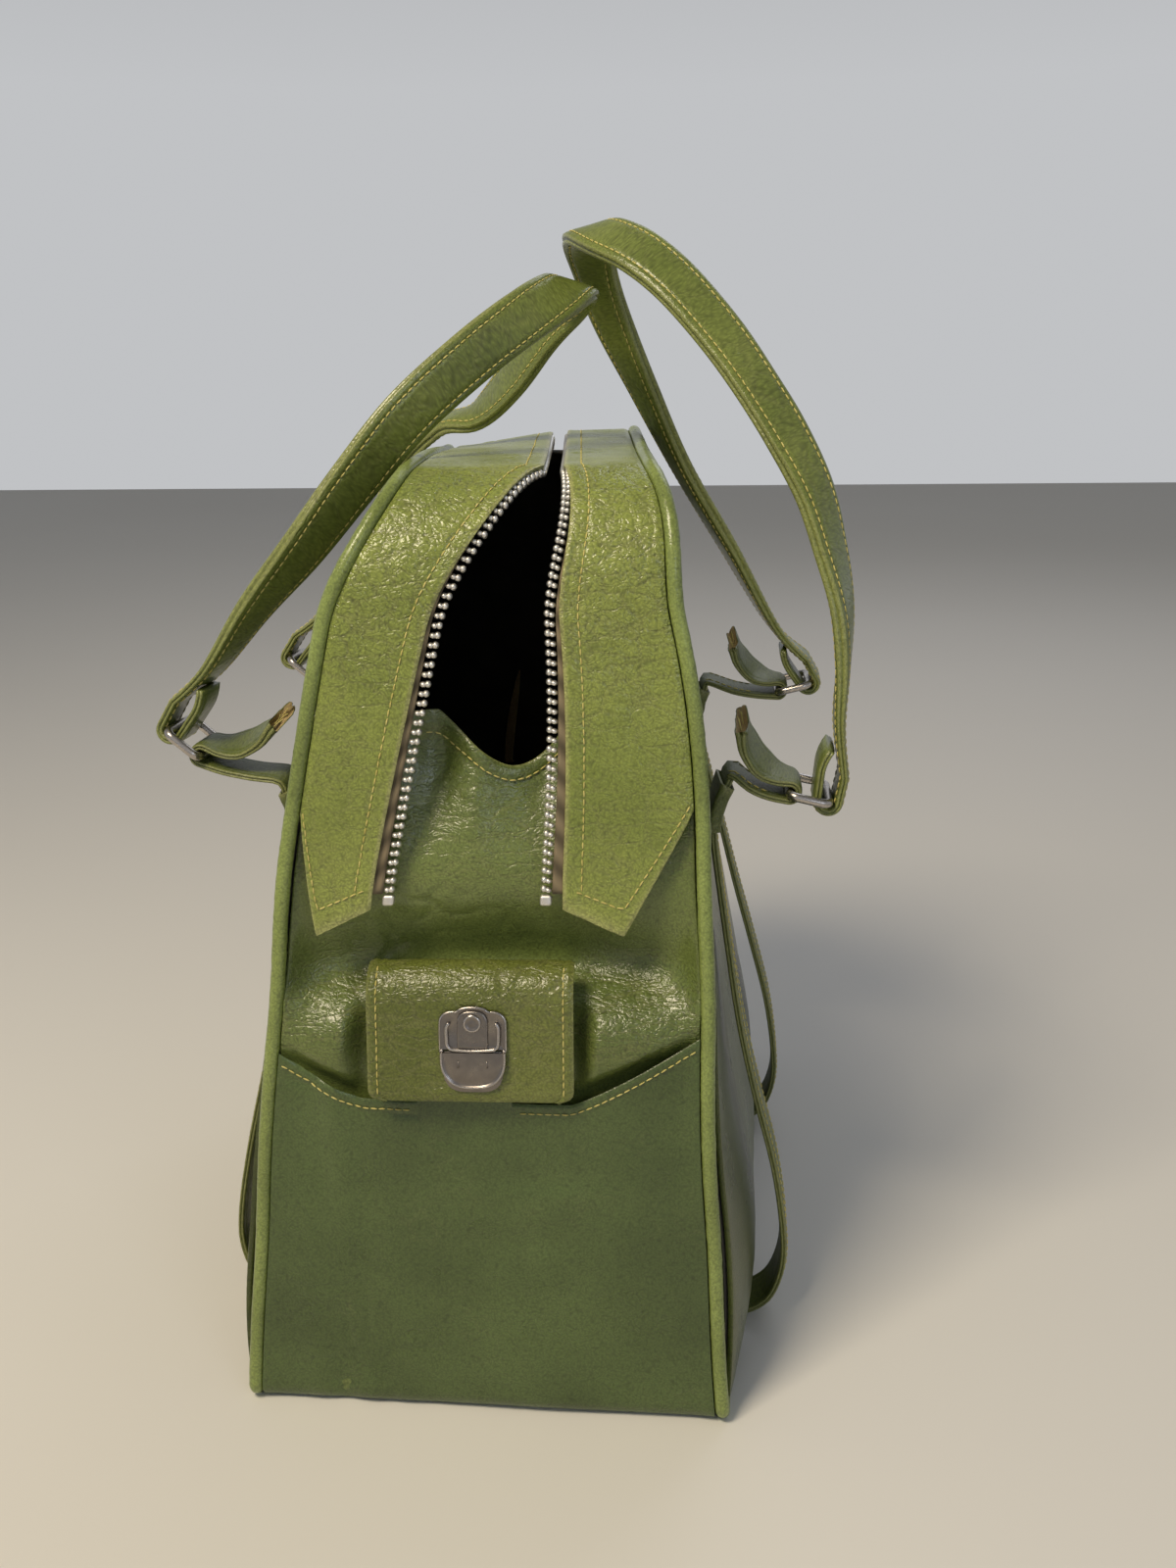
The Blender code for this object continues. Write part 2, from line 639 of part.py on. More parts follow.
def make_zip_tape(side, name):
    """The woven tape sewn under the band's edge."""
    deep = PIPING_PROUD + BAND_THICKNESS + GAP
    rows = []
    for end, run in over_runs(END.run_at(NEAR_CHAIN_END), END.run_at(FAR_CHAIN_END)):
        free = band_edge(end, side, run) - side * (reveal(end, side, run) - CHAIN_WIDTH / 2.0 - GAP)
        rows.append([shell_point(end, run, deep, free + side * TAPE_WIDTH * share) for share in (0.0, 0.5, 1.0)])
    return sheet(name, rows, TAPE_THICKNESS, Vector((0.0, 0.0, 0.2)), cloth("tape", (0.23, 0.17, 0.12)))


def chain_deep():
    return PIPING_PROUD + BAND_THICKNESS + GAP + (TAPE_THICKNESS - CHAIN_THICKNESS) / 2.0


def chain_section(end, side, run, width, thickness, deep):
    middle = band_edge(end, side, run) - side * reveal(end, side, run)
    return [shell_point(end, run, deep + b * thickness, middle + a * width)
            for a, b in ((-0.5, 0.0), (0.5, 0.0), (0.5, 1.0), (-0.5, 1.0))]


def chain_top(end, side, run):
    """The chain sinks below the band where the band covers it."""
    if reveal(end, side, run) > CHAIN_WIDTH:
        return chain_deep()
    share = 1.0 - max(0.0, reveal(end, side, run)) / CHAIN_WIDTH
    return chain_deep() + (CHAIN_THICKNESS - TAPE_THICKNESS) / 2.0 * min(1.0, share * 2.0)


def make_zip_chain(side, name):
    """The row of metal teeth on the tape's free edge, as the plain bar that the teeth fill."""
    stations = over_runs(END.run_at(NEAR_CHAIN_END), END.run_at(FAR_CHAIN_END))
    sections = [chain_section(end, side, run, CHAIN_WIDTH, CHAIN_THICKNESS, chain_top(end, side, run))
                for end, run in stations]
    return loft(name, sections, steel("teeth"))


def make_zip_stop(side, name):
    """The metal stop under the first tooth."""
    run = END.run_at(NEAR_CHAIN_END) - GAP
    sections = [chain_section(NEAR, side, here, CHAIN_WIDTH * 1.15, CHAIN_THICKNESS * 1.1, chain_deep())
                for here in (run - STOP_LENGTH, run)]
    return loft(name, sections, steel("stop"))


def slider_frame():
    """Origin and axes of the parked slider: along the chain (up), outwards and across."""
    run = END.run_at(SLIDER_HEIGHT)
    chain = chain_deep()
    middle = chain + CHAIN_THICKNESS / 2.0
    here = shell_point(FAR, run, middle, SLOT_OFFSET)
    above = shell_point(FAR, END.run_at(SLIDER_HEIGHT + 0.04), middle, SLOT_OFFSET)
    up = (above - here).normalized()
    across = (shell_point(FAR, run, middle, SLOT_OFFSET + 0.01) - here)
    across = (across - up * across.dot(up)).normalized()
    out = across.cross(up)
    if out.y < 0.0:
        out = -out
    return here, up, out, across


def make_zip_slider():
    """Two plates joined by a neck between the chains, with a lug for the pull."""
    here, up, out, across = slider_frame()
    inner = CHAIN_THICKNESS / 2.0 + SLIDER_CLEARANCE
    outer = inner + SLIDER_PLATE
    wide = CHAIN_WIDTH + (FAR_FLARE + SLOT_WIDTH / 2.0 - reveal(FAR, RIGHT, END.run_at(SLIDER_HEIGHT)))
    wide -= CHAIN_WIDTH / 2.0 - SLIDER_CLEARANCE
    neck = SLIDER_NECK / 2.0
    profile = ((-wide, outer), (wide, outer), (wide, inner), (neck, inner), (neck, -inner), (wide, -inner),
               (wide, -outer), (-wide, -outer), (-wide, -inner), (-neck, -inner), (-neck, inner), (-wide, inner))
    sections = []
    for share, squeeze in ((-0.5, 0.72), (-0.3, 1.0), (0.3, 1.0), (0.5, 0.72)):
        row = []
        for a, b in profile:
            sideways = a if abs(a) <= neck else math.copysign(max(neck + 0.001, abs(a) * squeeze), a)
            row.append(here + up * (SLIDER_LENGTH * share) + across * sideways + out * b)
        sections.append(row)
    return loft("zip_slider", sections, steel("slider"), origin=here)


def pull_hinge():
    """The line the pull flips about, inside the slider's bail."""
    here, up, out, across = slider_frame()
    lift = CHAIN_THICKNESS / 2.0 + SLIDER_CLEARANCE + SLIDER_PLATE + PULL_LIFT
    return here + out * lift, up, out, across


def make_zip_bail():
    """The small arch on the slider that holds the pull's eye."""
    hinge, up, out, across = pull_hinge()
    foot = PULL_LIFT - GAP
    route = [(BAIL_RADIUS, -foot), (BAIL_RADIUS, -foot * 0.3)]
    route += [(BAIL_RADIUS * math.cos(math.pi * step / 6.0), BAIL_RADIUS * math.sin(math.pi * step / 6.0))
              for step in range(7)]
    route += [(-BAIL_RADIUS, -foot * 0.3), (-BAIL_RADIUS, -foot)]
    centres = [hinge + up * a + out * b for a, b in route]
    strap("zip_bail", centres, [across] * len(centres), BAIL_WIDTH, lambda share: BAIL_THICKNESS, steel("slider"))


def make_zip_pull():
    """The tab that hangs from the bail, its eye round the bail and its end bar on the hinge line."""
    hinge, up, out, across = pull_hinge()
    half = PULL_WIDTH / 2.0
    eye = PULL_EYE / 2.0
    foot = PULL_LENGTH
    rim = ((half, PULL_BAR), (half, -0.2 * foot), (half, -0.92 * foot), (half * 0.6, -foot),
           (-half * 0.6, -foot), (-half, -0.92 * foot), (-half, -0.2 * foot), (-half, PULL_BAR))
    hole = ((eye, -PULL_BAR), (eye, -0.10 * foot), (eye, -0.17 * foot), (eye * 0.5, -0.18 * foot),
            (-eye * 0.5, -0.18 * foot), (-eye, -0.17 * foot), (-eye, -0.10 * foot), (-eye, -PULL_BAR))
    sections = []
    for (rim_a, rim_b), (hole_a, hole_b) in zip(rim, hole):
        sections.append([hinge + across * a + up * b + out * (face * PULL_THICKNESS)
                         for a, b, face in ((rim_a, rim_b, -0.5), (rim_a, rim_b, 0.5),
                                            (hole_a, hole_b, 0.5), (hole_a, hole_b, -0.5))])
    return loft("zip_pull", sections, steel("pull"), origin=hinge, ring=True)


# ---- end pocket, flap and tuck lock ----
def make_end_pocket():
    """The flat pocket over the near end's lower half."""
    shares = (-1.0, -0.9, -0.75, -0.6, -0.45, -0.327, -0.313, -0.2, -0.08, 0.05, 0.135, 0.15, 0.3, 0.45,
              0.6, 0.75, 0.9, 1.0)
    runs = [END.base_flat + CORNER_GAP] + spaced(END.base_flat, END.corner_end, 4)[1:]
    runs += [END.run_at(z) for z in (0.045, 0.075, 0.105, POCKET_MOUTH - 0.012)]
    low = runs[-1]
    rows = []
    for run in runs + [None]:
        row = []
        for share in shares:
            guess = share * inner_half(low)
            here = END.run_at(pocket_top(guess)) if run is None else run
            half = inner_half(here)
            x = half * share
            deep = corner_inset(here) - POCKET_BELLY * pocket_swell(x, height_at(here), half)
            row.append(shell_point(NEAR, here, deep, x))
        rows.append(row)
    return sheet("end_pocket", rows, POCKET_THICKNESS, Vector((0.0, 0.0, 0.15)), vinyl("pocket"))


def flap_frame():
    """Flap hinge: its middle on the near end, with the axes across, down the face and outwards."""
    run = END.run_at(FLAP_TOP - FLAP_ROLL)
    hinge = shell_point(NEAR, run, PIPING_PROUD - GAP - FLAP_ROLL, POCKET_MIDDLE)
    lower = shell_point(NEAR, END.run_at(FLAP_BOTTOM), PIPING_PROUD - GAP - FLAP_ROLL - FLAP_TILT, POCKET_MIDDLE)
    side = shell_point(NEAR, run, PIPING_PROUD - GAP - FLAP_ROLL, POCKET_MIDDLE + 0.02)
    across = (side - hinge).normalized()
    down = (lower - hinge)
    down = (down - across * down.dot(across)).normalized()
    out = down.cross(across)
    if out.y > 0.0:
        out = -out
    return hinge, across, down, out


def flap_length():
    return (FLAP_TOP - FLAP_ROLL - FLAP_BOTTOM) / math.cos(LEAN_ANGLE)


def make_pocket_flap():
    """The tab that closes the pocket, rolled at its sewn top edge."""
    hinge, across, down, out = flap_frame()
    front = FLAP_ROLL
    back = FLAP_ROLL - FLAP_THICKNESS
    profile = [(flap_length(), front), (flap_length() - 0.0008, front + 0.0003)]
    for step in range(9):
        angle = math.pi * step / 8.0 * 1.25
        profile.append((-FLAP_ROLL * math.sin(angle), FLAP_ROLL * math.cos(angle)))
    profile += [(0.004, back), (flap_length(), back)]
    sections = []
    for share in spaced(-0.5, 0.5, 6):
        sections.append([hinge + across * (FLAP_WIDTH * share) + down * a + out * b for a, b in profile])
    return loft("pocket_flap", sections, vinyl("flap"), origin=hinge)


def plate_outline(width, top, bottom, corner, top_round, bottom_round):
    """Outline of a latch part, (across, down) about the latch's split line."""
    points = []
    for sign_a, sign_b, rounded in ((1, -1, top_round), (1, 1, bottom_round), (-1, 1, bottom_round), (-1, -1, top_round)):
        radius = corner if rounded else 0.0008
        centre_a = sign_a * (width / 2.0 - radius)
        centre_b = (bottom - radius) if sign_b > 0 else (top + radius)
        start = {(1, -1): -math.pi / 2.0, (1, 1): 0.0, (-1, 1): math.pi / 2.0, (-1, -1): math.pi}[(sign_a, sign_b)]
        for step in range(6):
            angle = start + math.pi / 2.0 * step / 5.0
            points.append((centre_a + radius * math.cos(angle), centre_b + radius * math.sin(angle)))
    return points


def latch_place(a, b, lift):
    """World point of a latch part: across, down from the split, and out from the flap's face."""
    hinge, across, down, out = flap_frame()
    split = (FLAP_TOP - FLAP_ROLL - LATCH_MIDDLE) / math.cos(LEAN_ANGLE)
    return hinge + across * (LATCH_SIDEWAYS + a) + down * (split + b) + out * (FLAP_ROLL + lift)


def plate(name, outline, low, high, paint, dome=0.0, origin=None):
    """A flat or domed plate with a softened upper edge."""
    centre_a = sum(a for a, _ in outline) / len(outline)
    centre_b = sum(b for _, b in outline) / len(outline)

    def ring(shrink, lift):
        return [latch_place(centre_a + (a - centre_a) * shrink, centre_b + (b - centre_b) * shrink, lift)
                for a, b in outline]

    sections = [ring(1.0, low), ring(1.0, high - 0.0004), ring(0.95, high)]
    if dome:
        sections += [ring(0.75, high + dome * 0.6), ring(0.4, high + dome)]
    return loft(name, sections, paint, origin)


def make_latch():
    """The tuck lock on the flap: face plate, sprung thumb piece, its boss and the back plate."""
    half = LATCH_HEIGHT / 2.0
    upper = plate_outline(LATCH_WIDTH, -half, -GAP, LATCH_CORNER, True, False)
    plate("latch_plate", upper, GAP, LATCH_PLATE_THICKNESS, steel("latch"))
    sill = plate_outline(LATCH_WIDTH * 0.9, 0.0, half - 0.001, LATCH_CORNER, False, True)
    plate("latch_sill", sill, GAP, 0.0009, steel("latch"))
    thumb = plate_outline(LATCH_WIDTH * 0.96, 0.0, half - THUMB_TRAVEL, LATCH_CORNER, False, True)
    low = 0.0009 + GAP
    plate("latch_thumb", thumb, low, low + THUMB_THICKNESS, steel("latch"), dome=0.0008,
          origin=latch_place(0.0, half * 0.45, low))
    tongue = plate_outline(LATCH_WIDTH * 0.42, -half * 0.72, -0.0012, 0.002, True, True)
    plate("latch_tongue", tongue, LATCH_PLATE_THICKNESS + GAP, LATCH_PLATE_THICKNESS + GAP + 0.0007, steel("latch"))


def make_latch_back():
    """The plate clenched behind the flap."""
    back = -FLAP_THICKNESS - GAP
    outline = plate_outline(LATCH_WIDTH * 0.8, -LATCH_HEIGHT * 0.4, LATCH_HEIGHT * 0.36, 0.003, True, True)
    plate("latch_back_plate", outline, back - 0.0008, back, steel("latch"))


def make_latch_receiver():
    """The plate on the pocket's tab that the lock catches."""
    outline = ((0.5, -0.45), (0.5, 0.45), (-0.5, 0.45), (-0.5, -0.45))
    run = END.run_at((POCKET_TAB_TOP + LATCH_MIDDLE - LATCH_HEIGHT / 2.0) / 2.0)
    sections = []
    for lift in (GAP, GAP + RECEIVER_THICKNESS):
        row = []
        for a, b in outline:
            here = run + b * RECEIVER_WIDTH
            half = inner_half(here)
            x = POCKET_MIDDLE + a * RECEIVER_WIDTH
            deep = PIPING_PROUD - POCKET_BELLY * pocket_swell(x, height_at(here), half)
            row.append(shell_point(NEAR, here, deep - lift, x))
        sections.append(row)
    return loft("latch_receiver", sections, steel("latch"))


# ---- handles, rings, straps and keepers ----
RIGHT_HANDLE_ROUTE = ((144, -84, 280), (145, -82, 304), (144, -79, 327), (139, -73, 350), (132, -67, 373),
                      (120, -60, 396), (107, -52, 416), (93, -44, 435), (75, -35, 455), (59, -26, 468),
                      (45, -14, 475), (36, 1, 478), (33, 17, 474), (35, 31, 462), (41, 41, 443),
                      (54, 48, 414), (73, 60, 374), (97, 73, 332), (121, 86, 289))
RIGHT_HANDLE_ACROSS = ((0, -1, 0), (-0.1, -1, 0), (-0.25, -0.95, -0.1), (-0.4, -0.85, -0.2), (-0.5, -0.8, -0.3),
                       (-0.6, -0.75, -0.35), (-0.6, -0.75, -0.4), (-0.6, -0.7, -0.5), (-0.6, -0.65, -0.55),
                       (-0.7, -0.5, -0.5), (-0.85, -0.25, -0.4), (-1, 0, -0.25), (-0.95, 0.3, -0.1),
                       (-0.85, 0.5, 0), (-0.8, 0.6, 0), (-0.6, 0.8, 0), (-0.35, 0.9, 0), (-0.3, 0.95, 0),
                       (-0.15, 1, 0))
LEFT_HANDLE_ROUTE = ((-118, -90, 303), (-99, -87, 328), (-78, -83, 352), (-58, -76, 377), (-35, -68, 404),
                     (-11, -53, 426), (9, -36, 442), (23, -16, 452), (28, 0, 455), (23, 13, 450),
                     (11, 22, 437), (-5, 33, 417), (-25, 48, 400), (-47, 58, 393), (-69, 65, 373),
                     (-91, 75, 337), (-114, 81, 300))
LEFT_HANDLE_ACROSS = ((-0.1, -1, 0.1), (-0.25, -0.9, 0.25), (-0.42, -0.8, 0.42), (-0.52, -0.65, 0.55),
                      (-0.58, -0.5, 0.62), (-0.62, -0.45, 0.64), (-0.7, -0.4, 0.6), (-0.85, -0.2, 0.45),
                      (-0.95, 0, 0.3), (-0.8, 0.4, 0.4), (-0.6, 0.65, 0.4), (-0.45, 0.75, 0.4),
                      (-0.4, 0.9, 0.2), (-0.3, 0.95, 0.1), (-0.2, 1, 0.1), (-0.1, 1, 0), (-0.05, 1, 0))
# where the middle of each ring's inner bar lies, and how far its ring tips up from level, outwards
RING_PLACES = {
    (RIGHT, NEAR): Vector((124, -83, 252.5)) * MM,
    (RIGHT, FAR): Vector((124, 93, 255)) * MM,
    (LEFT, NEAR): Vector((-122, -93, 268)) * MM,
    (LEFT, FAR): Vector((-122, 83, 262)) * MM,
}
RING_TIP_DEG = {(RIGHT, NEAR): -13.0, (RIGHT, FAR): 14.0, (LEFT, NEAR): 40.0, (LEFT, FAR): 40.0}
# height, and how far the strap's middle stands off the side panel there
STRAP_STANDOFF = ((0.014, 0.0110), (0.030, 0.0120), (0.050, 0.0116), (0.080, 0.0112), (0.115, 0.0093),
                  (0.150, 0.0067), (0.190, 0.0046), (0.222, 0.0036), (0.234, 0.0035), (0.241, 0.0046),
                  (0.248, 0.0071), (0.254, 0.0101), (0.258, 0.0135))
KEEPER_STATIONS = (10, 11, 12, 13)    # the strap stations that a keeper covers
SIDE_NAMES = {LEFT: "left", RIGHT: "right"}
END_NAMES = {NEAR: "near", FAR: "far"}


def ring_axes(side, end):
    """Along the ring's bars, and out across the ring from its inner bar."""
    along = (RING_PLACES[(side, FAR)] - RING_PLACES[(side, NEAR)]).normalized()
    tip = math.radians(RING_TIP_DEG[(side, end)])
    out = Vector((side * math.cos(tip), 0.0, math.sin(tip)))
    return along, (out - along * out.dot(along)).normalized()


def outer_bar(side, end):
    return RING_PLACES[(side, end)] + ring_axes(side, end)[1] * RING_PITCH


def handle_axis(side):
    """The line through the outer bars of a side's two rings, that its handle swings on."""
    return (outer_bar(side, FAR) - outer_bar(side, NEAR)).normalized()


def make_ring(side, end):
    """A rectangular wire ring; its origin is on the inner bar, in the strap's loop."""
    along, out = ring_axes(side, end)
    inner_bar = RING_PLACES[(side, end)]
    half = RING_INSIDE / 2.0 + RING_WIRE
    points = []
    for sign_a, sign_b, start in ((1, 1, 0.0), (-1, 1, 0.5), (-1, -1, 1.0), (1, -1, 1.5)):
        centre_a = sign_a * (half - RING_CORNER)
        centre_b = RING_PITCH / 2.0 + sign_b * (RING_PITCH / 2.0 - RING_CORNER)
        for step in range(5):
            angle = math.pi * (start + 0.5 * step / 4.0)
            points.append(inner_bar + along * (centre_a + RING_CORNER * math.cos(angle))
                          + out * (centre_b + RING_CORNER * math.sin(angle)))
    name = "ring_" + SIDE_NAMES[side] + "_" + END_NAMES[end]
    return wire(name, points, RING_WIRE, steel("ring"), origin=inner_bar)


def handle_end(side, end, next_point):
    """The handle's end: down outside the outer bar, round under it, and a tail up inside."""
    along = handle_axis(side)
    bar = outer_bar(side, end)
    lead = next_point - bar
    lead = (lead - along * lead.dot(along)).normalized()
    outside = along.cross(lead)
    if outside.x * side < 0.0:
        outside = -outside
    radius = RING_WIRE + HANDLE_PLAY + HANDLE_END_THICKNESS / 2.0
    points = [bar - outside * (radius + 0.0006) + lead * HANDLE_TAIL,
              bar - outside * (radius + 0.0002) + lead * (HANDLE_TAIL * 0.5)]
    for step in range(9):
        angle = math.pi * step / 8.0
        points.append(bar - outside * (radius * math.cos(angle)) - lead * (radius * math.sin(angle)))
    points.append(bar + outside * (radius + 0.0006) + lead * (HANDLE_TAIL * 0.45))
    return points


def make_handle(side, name, route, across):
    """A stitched double strap from the near ring over the top to the far ring."""
    points = [Vector(point) * MM for point in route]
    widths = [Vector(way) for way in across]
    near_end = handle_end(side, NEAR, points[0])
    far_end = handle_end(side, FAR, points[-1])[::-1]
    along = handle_axis(side)
    body = spline_points([near_end[-1]] + points + [far_end[0]], 2)[1:-1]
    body_widths = spline_points([-along] + widths + [along], 2)[1:-1]
    centres = near_end + body + far_end
    all_widths = [-along] * len(near_end) + body_widths + [along] * len(far_end)
    ends = len(near_end) / (len(centres) - 1)

    def thickness_at(share):
        near = smooth_step(ends * 0.95, ends * 1.35, min(share, 1.0 - share))
        return HANDLE_END_THICKNESS + (HANDLE_THICKNESS - HANDLE_END_THICKNESS) * near

    return strap(name, centres, all_widths, HANDLE_WIDTH, thickness_at, vinyl("handle"),
                 origin=outer_bar(side, NEAR))


def strap_stations(side, end):
    """(middle, across, outwards) of the loose strap at each station up the side panel."""
    y = end * STRAP_HALF_SPACING
    foot = half_width(PIPING_RADIUS) + GAP + STRAP_THICKNESS / 2.0
    rows = [(foot + 0.0006, 0.0040), (foot + 0.0085, 0.0062)]
    rows += [(side_face(y, z) + off, z) for z, off in STRAP_STANDOFF]
    stations = []
    for index, (x, z) in enumerate(rows):
        middle = slump(side * x, y, z)
        across = (slump(side * x, y + 0.01, z) - middle).normalized()
        stations.append((middle, across))
    return stations


def make_strap(side, end):
    """A side strap: sewn in at the base, loose up the side, through its keeper, round the ring."""
    along, _ = ring_axes(side, end)
    bar = RING_PLACES[(side, end)]
    stations = strap_stations(side, end)
    top = stations[-1][0]
    out = bar - top
    out = (out - along * out.dot(along)).normalized()
    normal = out.cross(along)
    if normal.z < 0.0:
        normal = -normal
    radius = RING_WIRE + GAP + STRAP_THICKNESS / 2.0
    span = (bar - top).dot(out)
    approach = [bar - normal * (radius * 0.75) - out * (span * 0.62), bar - normal * (radius + 0.0002) - out * (span * 0.3)]
    loop = [bar + out * (radius * math.sin(math.pi * step / 8.0)) - normal * (radius * math.cos(math.pi * step / 8.0))
            for step in range(9)]
    tail = [bar + normal * (radius + 0.0006) - out * 0.007, bar + normal * (radius + 0.0042) - out * 0.015,
            bar + normal * (radius + 0.0115) - out * 0.022, bar + normal * (radius + 0.0185) - out * 0.026]
    centres = [middle for middle, _ in stations] + approach + loop + tail
    widths = [across for _, across in stations] + [along] * (len(centres) - len(stations))
    name = "strap_" + SIDE_NAMES[side] + "_" + END_NAMES[end]
    return strap(name, centres, widths, STRAP_WIDTH, lambda share: STRAP_THICKNESS, vinyl("strap"))


def make_keeper(side, end):
    """The sleeve sewn to the side panel that the strap runs through."""
    stations = strap_stations(side, end)
    half_a = STRAP_WIDTH / 2.0 + GAP
    half_b = STRAP_THICKNESS / 2.0 + GAP
    rim = ((1.0, -0.6), (1.0, 0.6), (0.96, 1.0), (0.0, 1.0), (-0.96, 1.0), (-1.0, 0.6),
           (-1.0, -0.6), (-0.96, -1.0), (0.0, -1.0), (0.96, -1.0))
    frames = []
    for index in KEEPER_STATIONS:
        middle, across = stations[index]
        before = stations[index - 1][0]
        after = stations[min(index + 1, len(stations) - 1)][0]
        along = (after - before).normalized()
        across = (across - along * across.dot(along)).normalized()
        frames.append((middle, across, along.cross(across)))
    sections = []
    for a, b in rim:
        inner = [middle + across * (a * half_a) + through * (b * half_b) for middle, across, through in frames]
        outer = [middle + across * (a * (half_a + KEEPER_WALL)) + through * (b * (half_b + KEEPER_WALL))
                 for middle, across, through in frames]
        sections.append(inner + outer[::-1])
    name = "keeper_" + SIDE_NAMES[side] + "_" + END_NAMES[end]
    return loft(name, sections, vinyl("keeper"), ring=True)


# ---- the whole bag ----
def build():
    clear_scene()
    for side in (LEFT, RIGHT):
        word = SIDE_NAMES[side]
        make_side_panel(side, "side_panel_" + word, SIDE_THICKNESS, 0.0, vinyl("side"))
        make_side_panel(side, "lining_" + word, LINING_THICKNESS, SIDE_THICKNESS + GAP,
                        cloth("lining", (0.012, 0.012, 0.012)))
        make_piping(side, "piping_" + word)
        make_zip_band(side, "zip_band_" + word)
        make_zip_tape(side, "zip_tape_" + word)
        make_zip_chain(side, "zip_chain_" + word)
        make_zip_stop(side, "zip_stop_" + word)
        for end in (NEAR, FAR):
            make_ring(side, end)
            make_strap(side, end)
            make_keeper(side, end)
    make_handle(LEFT, "handle_left", LEFT_HANDLE_ROUTE, LEFT_HANDLE_ACROSS)
    make_handle(RIGHT, "handle_right", RIGHT_HANDLE_ROUTE, RIGHT_HANDLE_ACROSS)
    make_base_panel()
    make_base_board()
    make_near_end_panel()
    make_far_end_panel()
    make_far_lining()
    make_zip_slider()
    make_zip_bail()
    make_zip_pull()
    make_end_pocket()
    make_pocket_flap()
    make_latch()
    make_latch_back()
    make_latch_receiver()


build()
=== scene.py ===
"""A soft ski boot bag in green leathercloth: two side panels, an end-and-base gusset with piping,
a metal zip between two wide bands, two strap handles on wire rings and an end pocket."""

import math

import bmesh
import bpy
from mathutils import Matrix, Vector, noise
from mathutils.bvhtree import BVHTree


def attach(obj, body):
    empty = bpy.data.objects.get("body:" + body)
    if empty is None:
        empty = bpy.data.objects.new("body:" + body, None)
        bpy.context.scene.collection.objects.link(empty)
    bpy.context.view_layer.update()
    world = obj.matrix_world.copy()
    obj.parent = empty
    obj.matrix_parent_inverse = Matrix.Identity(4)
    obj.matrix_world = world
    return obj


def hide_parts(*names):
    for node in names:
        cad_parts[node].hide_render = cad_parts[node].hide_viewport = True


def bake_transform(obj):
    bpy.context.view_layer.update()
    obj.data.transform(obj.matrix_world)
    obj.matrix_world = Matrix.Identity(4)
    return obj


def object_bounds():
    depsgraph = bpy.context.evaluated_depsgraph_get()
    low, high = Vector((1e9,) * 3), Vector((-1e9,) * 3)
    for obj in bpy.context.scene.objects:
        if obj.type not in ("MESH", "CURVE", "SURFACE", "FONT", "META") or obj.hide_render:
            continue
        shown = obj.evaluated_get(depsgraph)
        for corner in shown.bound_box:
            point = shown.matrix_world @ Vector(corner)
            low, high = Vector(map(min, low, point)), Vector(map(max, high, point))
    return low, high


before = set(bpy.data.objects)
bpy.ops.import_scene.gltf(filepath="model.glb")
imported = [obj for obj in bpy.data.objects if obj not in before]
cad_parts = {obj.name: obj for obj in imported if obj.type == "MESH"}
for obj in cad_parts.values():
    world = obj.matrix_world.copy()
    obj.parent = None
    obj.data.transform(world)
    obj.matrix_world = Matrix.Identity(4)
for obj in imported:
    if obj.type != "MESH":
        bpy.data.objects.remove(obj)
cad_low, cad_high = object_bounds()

# ---- the studio ----
# A pale floor under a pale surround, with a broad warm lamp high on the left, a cool one low on the
# right and a third behind.
MM = 0.001
SHARE, FIRST, SECOND, MIXED = 0, 6, 7, 2  # a colour Mix node's three inputs and its result


def linear(code):
    """Linear colour of an sRGB hex value."""
    parts = [int(code[start:start + 2], 16) / 255.0 for start in (0, 2, 4)]
    return tuple(c / 12.92 if c <= 0.04045 else ((c + 0.055) / 1.055) ** 2.4 for c in parts) + (1.0,)


def feed(node, links):
    """Set a node's inputs, each to a value, to a socket or to another node's first output."""
    for slot, value in links:
        if isinstance(value, bpy.types.Node):
            value = value.outputs[0]
        if isinstance(value, bpy.types.NodeSocket):
            node.id_data.links.new(value, node.inputs[slot])
        else:
            node.inputs[slot].default_value = value
    return node


def add_node(tree, kind, links=(), **settings):
    """A node with its settings, and with what its inputs are fed."""
    node = tree.nodes.new(kind)
    for key, value in settings.items():
        setattr(node, key, value)
    return feed(node, links)


def new_material(name):
    """A named material with its node tree and its shader."""
    made = bpy.data.materials.new(name)
    made.use_nodes = True
    return made, made.node_tree, made.node_tree.nodes["Principled BSDF"]


def finished(name, shape, *paints):
    """A bmesh made a smooth-faced object with its materials."""
    mesh = bpy.data.meshes.new(name)
    shape.to_mesh(mesh)
    shape.free()
    for face in mesh.polygons:
        face.use_smooth = True
    for paint in paints:
        mesh.materials.append(paint)
    thing = bpy.data.objects.new(name, mesh)
    bpy.context.scene.collection.objects.link(thing)
    return thing


CAMERA_PLACE = (0.0988, -0.6806, 0.432)
CAMERA_TURN, CAMERA_DROP, CAMERA_ROLL = 5.7, 16.7, -0.016
eye = bpy.data.cameras.new("camera")
eye.lens = 33.75
eye.sensor_fit = "VERTICAL"
eye.sensor_height = 36.0
camera = bpy.data.objects.new("camera", eye)
turn = Matrix.Rotation(math.radians(CAMERA_TURN), 4, "Z")
turn = turn @ Matrix.Rotation(math.radians(90.0 - CAMERA_DROP), 4, "X") @ Matrix.Rotation(CAMERA_ROLL, 4, "Z")
camera.matrix_world = Matrix.Translation(CAMERA_PLACE) @ turn
bpy.context.scene.collection.objects.link(camera)
bpy.context.scene.camera = camera
bpy.context.scene.view_settings.view_transform = "Standard"

